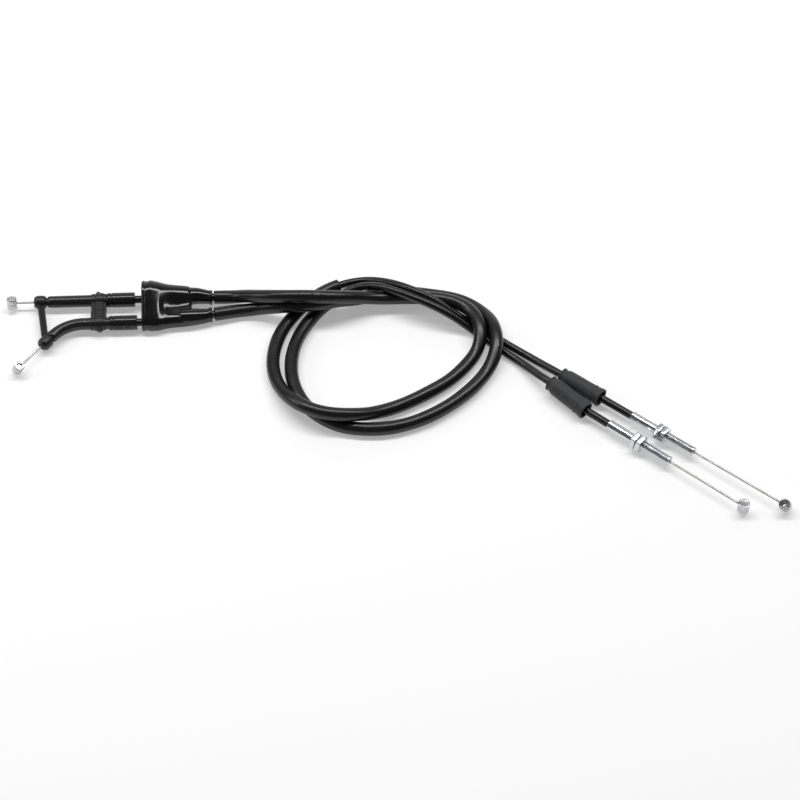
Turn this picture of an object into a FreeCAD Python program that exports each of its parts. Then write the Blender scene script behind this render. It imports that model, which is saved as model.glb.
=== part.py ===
import FreeCAD, Part
import Sketcher
import math
import os
from FreeCAD import Placement, Rotation, Vector

# Twin push-pull throttle cable set for a motorcycle, lying coiled on a flat floor.
# +X runs from the twist-grip end to the carburettor end, +Z is up, and the floor is z = 0.
# All lengths are millimetres, all angles degrees.

doc = FreeCAD.newDocument("throttle_cable_set")
sheet = doc.addObject("Spreadsheet::Sheet", "dims")

# ---------------------------------------------------------------- driving dimensions

SIZES = [
    # lay-out of the set
    ("origin_dx", 6.859), ("origin_dy", -2.985), ("origin_dz", -0.02),
    ("head_angle", 2.2), ("head_height", 6.0), ("head_mid", 71.903), ("head_pitch", 18.6),
    ("tail_height", 5.9),
    # cable build-up
    ("wire_rad", 0.75), ("liner_bore_rad", 1.15), ("liner_rad", 1.5), ("winding_rad", 2.0),
    ("jacket_rad", 2.5), ("sleeve_rad", 4.15), ("sleeve_bore_rad", 3.1),
    # guide tubes at the grip
    ("tube_rad", 3.7), ("tube_bore_rad", 1.5), ("elbow_bore_rad", 2.1),
    ("tube_len", 45.1), ("tube_neck_rad", 2.5), ("tube_neck_len", 2.4), ("tube_chamfer", 0.9),
    ("elbow_turn_rad", 24.0), ("elbow_turn_deg", 50.5), ("elbow_leg", 21.6),
    ("elbow_exit", 2.4), ("elbow_reach", 6.9),
    # link with two eyes; the sockets start at eye_seat from the eye centres
    ("eye_rad", 4.2), ("eye_hole_rad", 1.6), ("eye_socket_rad", 2.5), ("eye_seat", 2.1),
    ("strap_width", 4.2), ("strap_thick", 2.6),
    # bridge clip
    ("clip_len", 9.4), ("clip_ring_rad", 4.25), ("clip_rib_rad", 4.8), ("clip_rib_len", 4.8),
    ("clip_rib_shift", 0.5), ("clip_web_thick", 5.2), ("clip_web_from", 2.0),
    ("clip_seam", 0.1), ("nub_rad", 1.35), ("nub_len", 1.8), ("nub_root", 2.0),
    # collars
    ("collar_rad", 4.6), ("collar_len", 17.6), ("collar_chamfer", 0.8), ("collar_tube_depth", 6.0),
    ("collar_groove_at", 2.6), ("collar_groove_len", 0.7), ("collar_groove_rad", 4.25),
    ("bump_rad", 0.8), ("bump_len", 0.9), ("bump_side", 2.4), ("bump_sink", 1.0),
    # twin boot
    ("boot_wall", 0.9), ("boot_len", 43.6), ("boot_mouth_rad", 9.3), ("boot_low_rad", 6.6),
    ("boot_rim_len", 2.0), ("boot_rim_groove", 0.4),
    ("boot_neck_bore_rad", 3.7), ("boot_neck_rad", 4.4), ("boot_lip_rad", 4.75),
    ("boot_lip_len", 1.4),
    # single boots
    ("dust_rad", 5.25), ("dust_flare_rad", 5.7), ("dust_flange_rad", 4.85),
    ("dust_flange_len", 1.0), ("dust_neck_rad", 4.6), ("dust_neck_straight", 2.6),
    ("dust_bore_rad", 2.8), ("dust_cavity_rad", 4.3), ("dust_len", 29.3), ("dust_neck_len", 5.0),
    ("dust_flare_from_end", 5.0), ("dust_rim_len", 1.6), ("dust_cavity_taper", 0.8),
    # adjusters and their nuts
    ("ferrule_rad", 3.2), ("ferrule_len", 18.0), ("ferrule_chamfer", 0.4),
    ("ferrule_collar_rad", 3.35), ("ferrule_collar_len", 1.2), ("ferrule_collar_chamfer", 0.3),
    ("ferrule_bore_depth", 12.0), ("stem_rad", 3.0),
    ("stem_neck_rad", 2.6), ("stem_neck_len", 1.0), ("relief_at", 25.2),
    ("relief_len", 1.1), ("relief_rad", 2.8), ("adjuster_len", 44.8), ("stem_bore_rad", 1.25),
    ("stem_chamfer", 0.6),
    ("nut_flats", 10.0), ("nut_thick", 3.2), ("nut_bore_rad", 3.02), ("nut_chamfer", 0.5),
    ("nut_margin", 0.1), ("nut_gap", 0.5), ("nut_mid", 21.6),
    # end nipples
    ("grip_nipple_rad", 3.2), ("grip_nipple_len", 7.0), ("carb_nipple_rad", 3.5),
    ("carb_nipple_len", 6.5), ("nipple_waist_len", 1.8), ("nipple_waist_depth", 0.2),
    ("nipple_dimple_rad", 1.5), ("nipple_dimple_depth", 0.6),
    ("nipple_wire_depth", 2.4),
    # free lengths of wire, measured along each wire's own line
    ("pull_nipple_at", 17.8), ("pull_wire_end", 58.5), ("return_nipple_at", 25.0),
    ("return_wire_end", -2.1),
    ("pull_tail_stub", 13.0), ("return_tail_stub", 19.0),
    ("pull_tail_nipple", 64.4), ("return_tail_nipple", 52.8),
]


class Dim(float):
    """A number that carries the spreadsheet expression it comes from.

    The expression survives only while a Dim is the left operand.
    """

    def __new__(cls, value, text):
        dim = super().__new__(cls, value)
        dim.text = text
        return dim

    def joined(self, sign, other, value):
        other_text = other.text if isinstance(other, Dim) else repr(float(other))
        return Dim(value, f"({self.text} {sign} {other_text})")

    def __add__(self, other):
        return self.joined("+", other, float.__add__(self, other))

    def __sub__(self, other):
        return self.joined("-", other, float.__sub__(self, other))

    def __mul__(self, other):
        return self.joined("*", other, float.__mul__(self, other))

    def __truediv__(self, other):
        return self.joined("/", other, float.__truediv__(self, other))


class Dims:
    """The spreadsheet's values, one attribute for each alias."""


dims = Dims()
for row, (alias, size) in enumerate(SIZES, 1):
    sheet.set(f"A{row}", alias)
    sheet.set(f"B{row}", repr(size))
    sheet.setAlias(f"B{row}", alias)
    setattr(dims, alias, Dim(size, "dims." + alias))
doc.recompute()

# ---------------------------------------------------------------- places

ORIGIN = Vector(0, 0, 0)
X_AXIS = Vector(1, 0, 0)
Y_AXIS = Vector(0, 1, 0)
Z_AXIS = Vector(0, 0, 1)

SHIFT = Vector(dims.origin_dx, dims.origin_dy, dims.origin_dz)
HEAD_TURN = Rotation(Z_AXIS, dims.head_angle)
PULL_Y = dims.head_mid + dims.head_pitch / 2
RETURN_Y = dims.head_mid - dims.head_pitch / 2

# Places along the grip-end axes
PULL_EYE_X = -221.3
ELBOW_X = -194.0
RETURN_LINE_X = -193.5      # start of the return cable's line and of its middle wire
CLIP_X = -189.5
PULL_COLLAR_X = -180.0
RETURN_COLLAR_X = -178.3
PULL_CASING_X = PULL_COLLAR_X + dims.collar_tube_depth
RETURN_CASING_X = RETURN_COLLAR_X + dims.collar_tube_depth
BOOT_X = -157.8
HEAD_END_X = -153.0         # the straight grip-end stretches stop short of this
PULL_WIRE_X = -152.0        # start of the pull cable's middle wire

# Straight lines at the carburettor end: a point and a direction
PULL_TAIL = ((99.31, 14.31, dims.tail_height), (0.7951, -0.6064, 0.0))
RETURN_TAIL = ((118.42, -17.26, dims.tail_height), (0.783, -0.622, 0.0))
RETURN_DUST = ((91.08, 7.687, 7.9), (0.71806, -0.69339, -0.06007))

# Distances along those lines
PULL_DUST_AT = -0.5
RETURN_DUST_AT = 0.7
PULL_ADJUSTER_AT = 51.7
RETURN_ADJUSTER_AT = 9.8
PULL_WIRE_TO = 24.6
RETURN_WIRE_TO = -4.0
CASING_CLEARANCE = 0.1
CASING_DEPTH = dims.ferrule_bore_depth - CASING_CLEARANCE
PULL_END = PULL_ADJUSTER_AT + CASING_DEPTH
RETURN_END = RETURN_ADJUSTER_AT + CASING_DEPTH

# The elbow of the return tube bends from the cable's axis towards the grip and the frame's -y.
# EXIT_START and RETURN_EYE are in the elbow's own frame.
elbow_angle = math.radians(dims.elbow_turn_deg)
EXIT_DIR = Vector(-math.cos(elbow_angle), -math.sin(elbow_angle), 0)
EXIT_START = Vector(-math.sin(elbow_angle), math.cos(elbow_angle) - 1, 0) * dims.elbow_turn_rad
RETURN_EYE = EXIT_START + EXIT_DIR * dims.elbow_reach


def head(x, y):
    """A frame on the grip-end axes: local x along the cables, y across them."""
    base = HEAD_TURN.multVec(Vector(x, y, 0)) + Vector(0, 0, dims.head_height) + SHIFT
    return Placement(base, HEAD_TURN)


def along(line, distance, roll=0.0):
    """A frame on a straight line: local x along it, local z as near up as can be."""
    origin, direction = line
    forward = Vector(*direction).normalize()
    side = Z_AXIS.cross(forward).normalize()
    upright = Rotation(forward, side, forward.cross(side), "XYZ")
    base = Vector(*origin) + forward * distance + SHIFT
    return Placement(base, upright * Rotation(X_AXIS, roll))


# ---------------------------------------------------------------- builders

pieces = []


def keep(obj, place=None):
    """Puts an object in its place and lists it as a finished piece."""
    if place is not None:
        obj.Placement = place
    pieces.append(obj)


def bind(obj, prop, value):
    """Sets a size and ties it to the sheet if it comes from there."""
    setattr(obj, prop, float(value))
    if isinstance(value, Dim):
        obj.setExpression(prop, value.text)


def cylinder(name, radius, height, base=ORIGIN, axis=Z_AXIS):
    rod = doc.addObject("Part::Cylinder", name)
    bind(rod, "Radius", radius)
    bind(rod, "Height", height)
    rod.Placement = Placement(base, Rotation(Z_AXIS, axis))
    return rod


def fuse(name, shapes):
    union = doc.addObject("Part::MultiFuse", name)
    union.Shapes = shapes
    return union


def cut(name, base, tool):
    difference = doc.addObject("Part::Cut", name)
    difference.Base = base
    difference.Tool = tool
    return difference


def body_sketch(body, name, role, offset=ORIGIN):
    """An empty sketch on one of a body's origin planes."""
    sketch = body.newObject("Sketcher::SketchObject", name)
    plane = next(f for f in body.Origin.OriginFeatures if f.Role == role)
    sketch.AttachmentSupport = [(plane, "")]
    sketch.MapMode = "FlatFace"
    sketch.AttachmentOffset = Placement(offset, Rotation())
    return sketch


def measure(sketch, kind, where, value):
    """Adds a sized constraint and ties it to the sheet if its value comes from there."""
    index = sketch.addConstraint(Sketcher.Constraint(kind, *where, float(value)))
    if isinstance(value, Dim):
        sketch.setExpression(f"Constraints[{index}]", value.text)


def outline_sketch(body, name, corners):
    """A closed polygon in a body's XY plane with every corner measured from the origin."""
    sketch = body_sketch(body, name, "XY_Plane")
    count = len(corners)
    for i in range(count):
        start, end = corners[i], corners[(i + 1) % count]
        sketch.addGeometry(Part.LineSegment(Vector(*start, 0), Vector(*end, 0)))
    for i in range(count):
        sketch.addConstraint(Sketcher.Constraint("Coincident", i, 2, (i + 1) % count, 1))
    for i, (x, y) in enumerate(corners):
        # A zero distance is not allowed, so such a corner is put on the sketch axis itself.
        for kind, value, zero_axis in (("DistanceX", x, -2), ("DistanceY", y, -1)):
            if abs(value) < 1e-9:
                sketch.addConstraint(Sketcher.Constraint("PointOnObject", i, 1, zero_axis))
            else:
                measure(sketch, kind, (-1, 1, i, 1), value)
    return sketch


def turned(name, corners):
    """A body turned about its own x axis from an outline of (x, radius) corners."""
    body = doc.addObject("PartDesign::Body", name)
    sketch = outline_sketch(body, name + "_outline", corners)
    revolution = body.newObject("PartDesign::Revolution", name + "_turned")
    revolution.Profile = sketch
    revolution.ReferenceAxis = (sketch, ["H_Axis"])
    revolution.Angle = 360.0
    body.Tip = revolution
    return body


def loft(body, kind, name, sections):
    feature = body.newObject("PartDesign::" + kind, name)
    feature.Profile = sections[0]
    feature.Sections = sections[1:]
    feature.Ruled = True
    body.Tip = feature
    doc.recompute()


# ---------------------------------------------------------------- hoses

HOSE_STEP = 3.5         # longest stretch of line between two rings
RINGS_TO_A_FACE = 6
SEW_TOLERANCE = 1e-4


def frames_along(edge):
    """Points on an edge with frames that turn as little as possible from one to the next."""
    frames = []
    normal = None
    count = max(2, int(math.ceil(edge.Length / HOSE_STEP)))
    for point in edge.discretize(Number=count + 1):
        parameter = edge.Curve.parameter(point)
        parameter = min(max(parameter, edge.FirstParameter), edge.LastParameter)
        forward = edge.tangentAt(parameter).normalize()
        if normal is None:
            normal = Z_AXIS.cross(forward).normalize()
        else:
            normal = (normal - forward * normal.dot(forward)).normalize()
        turn = Rotation(normal, forward.cross(normal), forward, "XYZ")
        frames.append(Placement(point, turn))
    return frames


def ring_at(frame, radius):
    wire = Part.Wire([Part.Circle(ORIGIN, Z_AXIS, radius).toShape()])
    wire.Placement = frame
    return wire


def skin_faces(frames, radius):
    """The faces of a round skin through rings, a few rings to each face."""
    faces = []
    for i in range(0, len(frames) - 1, RINGS_TO_A_FACE):
        rings = [ring_at(frame, radius) for frame in frames[i:i + RINGS_TO_A_FACE + 1]]
        faces += Part.makeLoft(rings, False, False).Faces
    return faces


def hose(name, edge, radius, bore=None):
    """A round cable layer that follows an edge, solid or with a bore, closed at both ends."""
    frames = frames_along(edge)
    faces = skin_faces(frames, radius)
    if bore is not None:
        faces += skin_faces(frames, bore)
    for frame in (frames[0], frames[-1]):
        if bore is None:
            faces.append(Part.Face(ring_at(frame, radius)))
        else:
            faces.append(Part.makeFace([ring_at(frame, radius), ring_at(frame, bore)],
                                       "Part::FaceMakerBullseye"))
    skin = Part.makeCompound(faces)
    skin.sewShape(SEW_TOLERANCE)
    solid = Part.Solid(skin.Shells[0])
    if solid.Volume < 0:
        solid.reverse()
    piece = doc.addObject("Part::Feature", name)
    piece.Shape = solid
    keep(piece)


# ---------------------------------------------------------------- lines of the two cables

# Centre points (x, y, z) of the coiled runs, from the grip end to the carburettor end,
# before SHIFT is added
PULL_POINTS = [
    (-155.90, 75.27, 6.00), (-150.76, 75.40, 5.98), (-145.71, 75.53, 5.93),
    (-140.69, 75.78, 5.85), (-135.59, 76.11, 5.74), (-130.42, 76.45, 5.62),
    (-125.22, 76.78, 5.51), (-120.01, 77.11, 5.42), (-114.81, 77.43, 5.28),
    (-109.59, 77.54, 5.30), (-104.49, 77.01, 6.14), (-99.83, 75.73, 8.08),
    (-95.58, 73.92, 10.50), (-91.41, 71.86, 12.87), (-87.12, 69.88, 15.07),
    (-82.62, 68.15, 17.07), (-77.91, 66.71, 18.80), (-73.01, 65.58, 20.16),
    (-67.94, 64.77, 21.10), (-62.78, 64.28, 21.63), (-57.56, 64.09, 21.74),
    (-52.36, 64.23, 21.44), (-47.21, 64.70, 20.75), (-42.17, 65.51, 19.67),
    (-37.29, 66.65, 18.23), (-32.61, 68.12, 16.46), (-28.06, 69.73, 14.48),
    (-23.47, 71.24, 12.50), (-18.73, 72.47, 10.71), (-13.78, 73.37, 9.35),
    (-8.66, 73.98, 8.55), (-3.47, 74.38, 8.30), (1.74, 74.51, 8.40), (6.95, 74.32, 8.66),
    (12.14, 73.91, 8.99), (17.32, 73.37, 9.34), (22.47, 72.64, 9.63), (27.58, 71.59, 9.75),
    (32.57, 70.05, 9.77), (37.27, 67.81, 9.82), (41.45, 64.71, 9.98), (44.87, 60.78, 10.22),
    (47.35, 56.21, 10.39), (48.89, 51.23, 10.24), (49.55, 46.13, 9.45), (49.32, 41.12, 8.03),
    (48.10, 36.30, 6.46), (45.98, 31.71, 5.20), (43.20, 27.35, 4.51), (40.13, 23.15, 4.24),
    (36.87, 19.07, 4.20), (33.38, 15.20, 4.20), (29.62, 11.58, 4.20), (25.59, 8.28, 4.20),
    (21.38, 5.20, 4.20), (17.07, 2.26, 4.20), (12.68, -0.57, 4.20), (8.22, -3.26, 4.20),
    (3.65, -5.79, 4.20), (-0.99, -8.17, 4.31), (-5.65, -10.47, 4.74), (-10.27, -12.75, 5.58),
    (-14.79, -15.00, 6.87), (-19.29, -17.10, 8.47), (-23.90, -18.88, 10.16),
    (-28.75, -20.17, 11.54), (-33.86, -20.82, 12.38), (-39.05, -20.73, 12.75),
    (-44.20, -19.89, 12.74), (-49.17, -18.34, 12.48), (-53.88, -16.15, 12.03),
    (-58.27, -13.41, 11.39), (-62.26, -10.17, 10.54), (-65.79, -6.48, 9.46),
    (-68.81, -2.43, 8.18), (-71.37, 1.91, 6.83), (-73.55, 6.49, 5.62), (-75.37, 11.30, 4.75),
    (-76.78, 16.30, 4.32), (-77.67, 21.44, 4.20), (-78.02, 26.64, 4.21), (-77.83, 31.85, 4.21),
    (-77.16, 37.03, 4.20), (-76.06, 42.13, 4.20), (-74.56, 47.12, 4.22), (-72.64, 51.97, 4.24),
    (-70.30, 56.63, 4.21), (-67.64, 61.12, 4.18), (-64.74, 65.45, 4.18), (-61.59, 69.61, 4.21),
    (-58.15, 73.54, 4.21), (-54.44, 77.20, 4.20), (-50.46, 80.57, 4.20), (-46.20, 83.59, 4.21),
    (-41.69, 86.20, 4.22), (-36.97, 88.43, 4.17), (-32.06, 90.16, 4.14), (-26.94, 91.13, 4.39),
    (-21.80, 91.06, 5.19), (-16.92, 89.90, 6.58), (-12.45, 87.91, 8.38), (-8.29, 85.42, 10.31),
    (-4.28, 82.68, 12.20), (-0.23, 79.82, 13.84), (3.97, 76.98, 15.03), (8.38, 74.25, 15.64),
    (12.92, 71.69, 15.64), (17.53, 69.33, 15.04), (22.10, 67.13, 13.83), (26.54, 65.08, 12.01),
    (30.83, 63.19, 9.74), (35.11, 61.48, 7.29), (39.52, 59.85, 5.03), (44.15, 58.04, 3.47),
    (48.72, 55.65, 2.75), (52.92, 52.57, 2.55), (56.91, 49.20, 2.54), (60.89, 45.82, 2.56),
    (64.97, 42.57, 2.56), (69.12, 39.42, 2.55), (73.29, 36.28, 2.56), (77.43, 33.11, 2.68),
    (81.51, 29.87, 2.97), (85.48, 26.53, 3.47), (89.28, 23.04, 4.35), (92.99, 19.48, 5.40),
    (96.92, 16.13, 5.90),
]

RETURN_POINTS = [
    (-155.19, 56.68, 6.00), (-150.12, 57.06, 5.97), (-145.23, 57.65, 5.92),
    (-140.35, 58.42, 5.84), (-135.38, 59.32, 5.72), (-130.32, 60.30, 5.60),
    (-125.22, 61.35, 5.49), (-120.12, 62.38, 5.40), (-115.05, 63.55, 5.29),
    (-110.03, 64.85, 4.96), (-105.01, 66.17, 4.55), (-99.94, 67.27, 4.25),
    (-94.78, 67.85, 4.39), (-89.68, 67.82, 5.39), (-84.82, 67.13, 7.10), (-80.12, 66.02, 9.03),
    (-75.32, 64.99, 10.75), (-70.33, 64.32, 12.06), (-65.20, 64.06, 12.87),
    (-60.01, 64.24, 13.18), (-54.86, 64.91, 13.10), (-49.81, 66.09, 12.67),
    (-44.94, 67.71, 11.84), (-40.29, 69.66, 10.54), (-35.82, 71.77, 8.93),
    (-31.39, 73.87, 7.20), (-26.85, 75.89, 5.65), (-22.14, 77.84, 4.63), (-17.26, 79.58, 4.24),
    (-12.22, 80.88, 4.18), (-7.08, 81.67, 4.20), (-1.89, 82.00, 4.22), (3.31, 81.92, 4.21),
    (8.49, 81.51, 4.19), (13.66, 80.85, 4.18), (18.79, 80.04, 4.19), (23.92, 79.13, 4.19),
    (29.00, 78.04, 4.19), (34.00, 76.61, 4.20), (38.84, 74.69, 4.20), (43.37, 72.15, 4.22),
    (47.46, 68.94, 4.44), (50.94, 65.14, 5.09), (53.77, 60.95, 6.30), (55.97, 56.48, 7.76),
    (57.60, 51.71, 9.05), (58.74, 46.70, 9.81), (59.37, 41.54, 9.78), (59.35, 36.40, 9.04),
    (58.58, 31.40, 7.80), (57.10, 26.60, 6.46), (55.00, 21.99, 5.33), (52.44, 17.51, 4.61),
    (49.57, 13.19, 4.28), (46.45, 9.03, 4.20), (43.11, 5.04, 4.20), (39.55, 1.24, 4.21),
    (35.81, -2.37, 4.20), (31.89, -5.79, 4.20), (27.80, -9.01, 4.20), (23.56, -12.02, 4.20),
    (19.17, -14.80, 4.20), (14.62, -17.32, 4.20), (9.92, -19.57, 4.20), (5.10, -21.50, 4.20),
    (0.15, -23.10, 4.20), (-4.91, -24.31, 4.20), (-10.05, -25.11, 4.20),
    (-15.24, -25.50, 4.20), (-20.44, -25.50, 4.20), (-25.63, -25.12, 4.20),
    (-30.76, -24.31, 4.19), (-35.77, -22.92, 4.19), (-40.57, -20.90, 4.20),
    (-45.09, -18.34, 4.20), (-49.32, -15.31, 4.20), (-53.19, -11.84, 4.20),
    (-56.64, -7.94, 4.20), (-59.57, -3.65, 4.20), (-61.96, 0.97, 4.20), (-63.85, 5.81, 4.20),
    (-65.25, 10.82, 4.20), (-66.18, 15.94, 4.20), (-66.65, 21.12, 4.20), (-66.69, 26.32, 4.20),
    (-66.28, 31.51, 4.20), (-65.44, 36.64, 4.20), (-64.16, 41.68, 4.20), (-62.46, 46.59, 4.20),
    (-60.37, 51.36, 4.21), (-57.97, 55.97, 4.21), (-55.35, 60.47, 4.20), (-52.49, 64.81, 4.19),
    (-49.32, 68.94, 4.19), (-45.79, 72.75, 4.20), (-41.91, 76.22, 4.19), (-37.83, 79.44, 4.24),
    (-33.38, 81.97, 5.04), (-28.69, 82.97, 6.99), (-24.05, 82.63, 9.29),
    (-19.47, 81.42, 11.45), (-14.92, 79.66, 13.25), (-10.37, 77.52, 14.57),
    (-5.81, 75.17, 15.43), (-1.23, 72.76, 15.94), (3.40, 70.40, 16.20), (8.06, 68.08, 16.23),
    (12.75, 65.84, 16.02), (17.45, 63.68, 15.49), (22.14, 61.63, 14.57), (26.77, 59.75, 13.14),
    (31.29, 57.99, 11.26), (35.67, 56.30, 9.02), (39.92, 54.50, 6.62), (44.13, 52.33, 4.47),
    (48.27, 49.53, 3.06), (52.23, 46.20, 2.60), (56.12, 42.75, 2.54), (60.03, 39.31, 2.55),
    (63.96, 35.90, 2.54), (67.91, 32.52, 2.58), (71.82, 29.09, 2.73), (75.51, 25.47, 3.29),
    (78.89, 21.65, 4.31), (82.11, 17.75, 5.49), (85.36, 13.82, 6.55), (88.77, 10.02, 7.66),
    (92.41, 6.37, 7.94), (96.17, 2.78, 7.44), (99.91, -0.83, 7.14), (103.62, -4.46, 6.88),
    (107.38, -8.04, 6.52), (111.27, -11.47, 6.11), (115.29, -14.77, 5.90),
]

# Points near the two ends of each cover sleeve, before SHIFT is added
PULL_COVER = ((-116.6, 77.32, 5.34), (-38.22, 87.89, 4.19))
RETURN_COVER = ((-115.3, 63.49, 5.3), (-42.52, 75.71, 4.19))


def spaced(start, stop, count):
    """Evenly spaced values from start, without stop itself."""
    return [start + (stop - start) * i / count for i in range(count)]


def cable_curve(head_y, head_xs, coil, tail, tail_distances):
    """A smooth line: straight at the grip, round the coil, straight at the carburettor."""
    points = [head(x, head_y).Base for x in head_xs]
    points += [Vector(*point) + SHIFT for point in coil]
    points += [along(tail, distance).Base for distance in tail_distances]
    curve = Part.BSplineCurve()
    curve.interpolate(Points=points, InitialTangent=HEAD_TURN.multVec(X_AXIS),
                      FinalTangent=Vector(*tail[1]))
    return curve


def stretch(curve, start, end):
    """The stretch of a curve between the points of it nearest to start and end."""
    return curve.toShape(curve.parameter(start), curve.parameter(end))


def cable(side, curve, casing_ends, wire_ends, cover_ends):
    """A cable's three casing layers, its cover sleeve and the middle run of its inner wire."""
    casing = stretch(curve, *casing_ends)
    hose(side + "_casing_jacket", casing, dims.jacket_rad, dims.winding_rad)
    hose(side + "_casing_winding", casing, dims.winding_rad, dims.liner_rad)
    hose(side + "_casing_liner", casing, dims.liner_rad, dims.liner_bore_rad)
    cover = stretch(curve, *[Vector(*point) + SHIFT for point in cover_ends])
    hose(side + "_cover_sleeve", cover, dims.sleeve_rad, dims.sleeve_bore_rad)
    hose(side + "_wire_middle", stretch(curve, *wire_ends), dims.wire_rad)


cable("pull",
      cable_curve(PULL_Y, spaced(PULL_CASING_X, HEAD_END_X, 4), PULL_POINTS,
                  PULL_TAIL, spaced(2.0, PULL_END, 11) + [PULL_END]),
      (head(PULL_CASING_X, PULL_Y).Base, along(PULL_TAIL, PULL_END).Base),
      (head(PULL_WIRE_X, PULL_Y).Base, along(PULL_TAIL, PULL_WIRE_TO).Base),
      PULL_COVER)
cable("return",
      cable_curve(RETURN_Y, spaced(RETURN_LINE_X, HEAD_END_X, 8), RETURN_POINTS,
                  RETURN_TAIL, spaced(1.0, RETURN_END, 4) + [RETURN_END]),
      (head(RETURN_CASING_X, RETURN_Y).Base, along(RETURN_TAIL, RETURN_END).Base),
      (head(RETURN_LINE_X, RETURN_Y).Base, along(RETURN_TAIL, RETURN_WIRE_TO).Base),
      RETURN_COVER)

# ---------------------------------------------------------------- guide tubes


def pull_guide_tube():
    """The straight tube, with a narrow neck that seats in the link's eye."""
    radius, bore, chamfer = dims.tube_rad, dims.tube_bore_rad, dims.tube_chamfer
    neck_len, neck_rad = dims.tube_neck_len, dims.tube_neck_rad
    tube = turned("pull_guide_tube", [
        (0, bore), (0, neck_rad), (neck_len, neck_rad), (neck_len, radius - chamfer),
        (neck_len + chamfer, radius), (dims.tube_len, radius), (dims.tube_len, bore)])
    keep(tube, head(PULL_EYE_X + dims.eye_seat, PULL_Y))


def elbow_bend(name, radius):
    torus = doc.addObject("Part::Torus", name)
    bind(torus, "Radius1", dims.elbow_turn_rad)
    bind(torus, "Radius2", radius)
    bind(torus, "Angle3", dims.elbow_turn_deg)
    torus.Placement = Placement(Vector(0, -dims.elbow_turn_rad, 0), Rotation(Z_AXIS, 90))
    return torus


def return_guide_tube():
    """The bent tube: a straight leg, the bend, and a short exit with a neck."""
    radius, bore = dims.tube_rad, dims.elbow_bore_rad
    exit_len = dims.elbow_exit
    neck_end = exit_len + dims.tube_neck_len
    overshoot = 1.0
    outer = [
        elbow_bend("elbow_outer", radius),
        cylinder("elbow_leg_outer", radius, dims.elbow_leg, axis=X_AXIS),
        cylinder("elbow_exit_outer", radius, exit_len, EXIT_START, EXIT_DIR),
        cylinder("elbow_neck", dims.tube_neck_rad, neck_end, EXIT_START, EXIT_DIR)]
    inner = [
        elbow_bend("elbow_inner", bore),
        cylinder("elbow_leg_bore", bore, dims.elbow_leg + overshoot, axis=X_AXIS),
        cylinder("elbow_exit_bore", bore, neck_end + overshoot, EXIT_START, EXIT_DIR)]
    tube = cut("return_guide_tube", fuse("elbow_body", outer), fuse("elbow_bore", inner))
    keep(tube, head(ELBOW_X, RETURN_Y))


pull_guide_tube()
return_guide_tube()

# ---------------------------------------------------------------- link with two eyes


def guide_link():
    """Two ball eyes joined by a flat strap, each drilled and socketed for its tube."""
    hole_len, socket_len = 12.0, 6.0
    far_eye = Vector(ELBOW_X - PULL_EYE_X, RETURN_Y - PULL_Y, 0) + RETURN_EYE
    balls = []
    holes = []
    for side, centre, outward in (("pull", ORIGIN, X_AXIS * -1), ("return", far_eye, EXIT_DIR)):
        ball = doc.addObject("Part::Sphere", side + "_eye_ball")
        bind(ball, "Radius", dims.eye_rad)
        ball.Placement = Placement(centre, Rotation())
        balls.append(ball)
        holes.append(cylinder(side + "_eye_hole", dims.eye_hole_rad, hole_len,
                              centre - outward * (hole_len / 2), outward))
        holes.append(cylinder(side + "_eye_socket", dims.eye_socket_rad, socket_len,
                              centre - outward * dims.eye_seat, outward * -1))
    strap = doc.addObject("Part::Box", "link_strap")
    strap.Length = far_eye.Length
    bind(strap, "Width", dims.strap_width)
    bind(strap, "Height", dims.strap_thick)
    turn = Rotation(X_AXIS, far_eye)
    corner = Vector(0, -dims.strap_width / 2, -dims.strap_thick / 2)
    strap.Placement = Placement(turn.multVec(corner), turn)
    link = cut("guide_link", fuse("link_body", balls + [strap]), fuse("link_holes", holes))
    keep(link, head(PULL_EYE_X, PULL_Y))


guide_link()

# ---------------------------------------------------------------- bridge clip


def clip_half(side, inward, across, nub_x):
    """A ribbed ring on one tube, with a web on the y side 'inward' and a nub opposite it."""
    ring = cylinder(side + "_clip_ring", dims.clip_ring_rad, dims.clip_len, axis=X_AXIS)
    rib_x = (dims.clip_len - dims.clip_rib_len) / 2 + dims.clip_rib_shift
    rib = cylinder(side + "_clip_rib", dims.clip_rib_rad, dims.clip_rib_len,
                   Vector(rib_x, 0, 0), X_AXIS)
    web = doc.addObject("Part::Box", side + "_clip_web")
    web_end = dims.head_pitch / 2 - dims.clip_seam / 2
    bind(web, "Length", dims.clip_len)
    bind(web, "Width", web_end - dims.clip_web_from)
    bind(web, "Height", dims.clip_web_thick)
    web_low = -web_end if inward < 0 else dims.clip_web_from
    web.Placement = Placement(Vector(0, web_low, -dims.clip_web_thick / 2), Rotation())
    nub_y = -inward * (dims.clip_rib_rad - dims.nub_root)
    nub = cylinder(side + "_clip_nub", dims.nub_rad, dims.nub_len + dims.nub_root,
                   Vector(nub_x, nub_y, 0), Y_AXIS * -inward)
    overshoot = 2.0
    bore = cylinder(side + "_clip_bore", dims.tube_rad, dims.clip_len + 2 * overshoot,
                    Vector(-overshoot, 0, 0), X_AXIS)
    half = cut(side + "_clip_half", fuse(side + "_clip_body", [ring, rib, web, nub]), bore)
    keep(half, head(CLIP_X, across))


clip_half("pull", inward=-1, across=PULL_Y, nub_x=4.0)
clip_half("return", inward=1, across=RETURN_Y, nub_x=5.9)

# ---------------------------------------------------------------- collars

BUMP_XS = (5.4, 11.0)
BUMP_AXIS = Vector(0, 0.5, 0.87)


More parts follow.
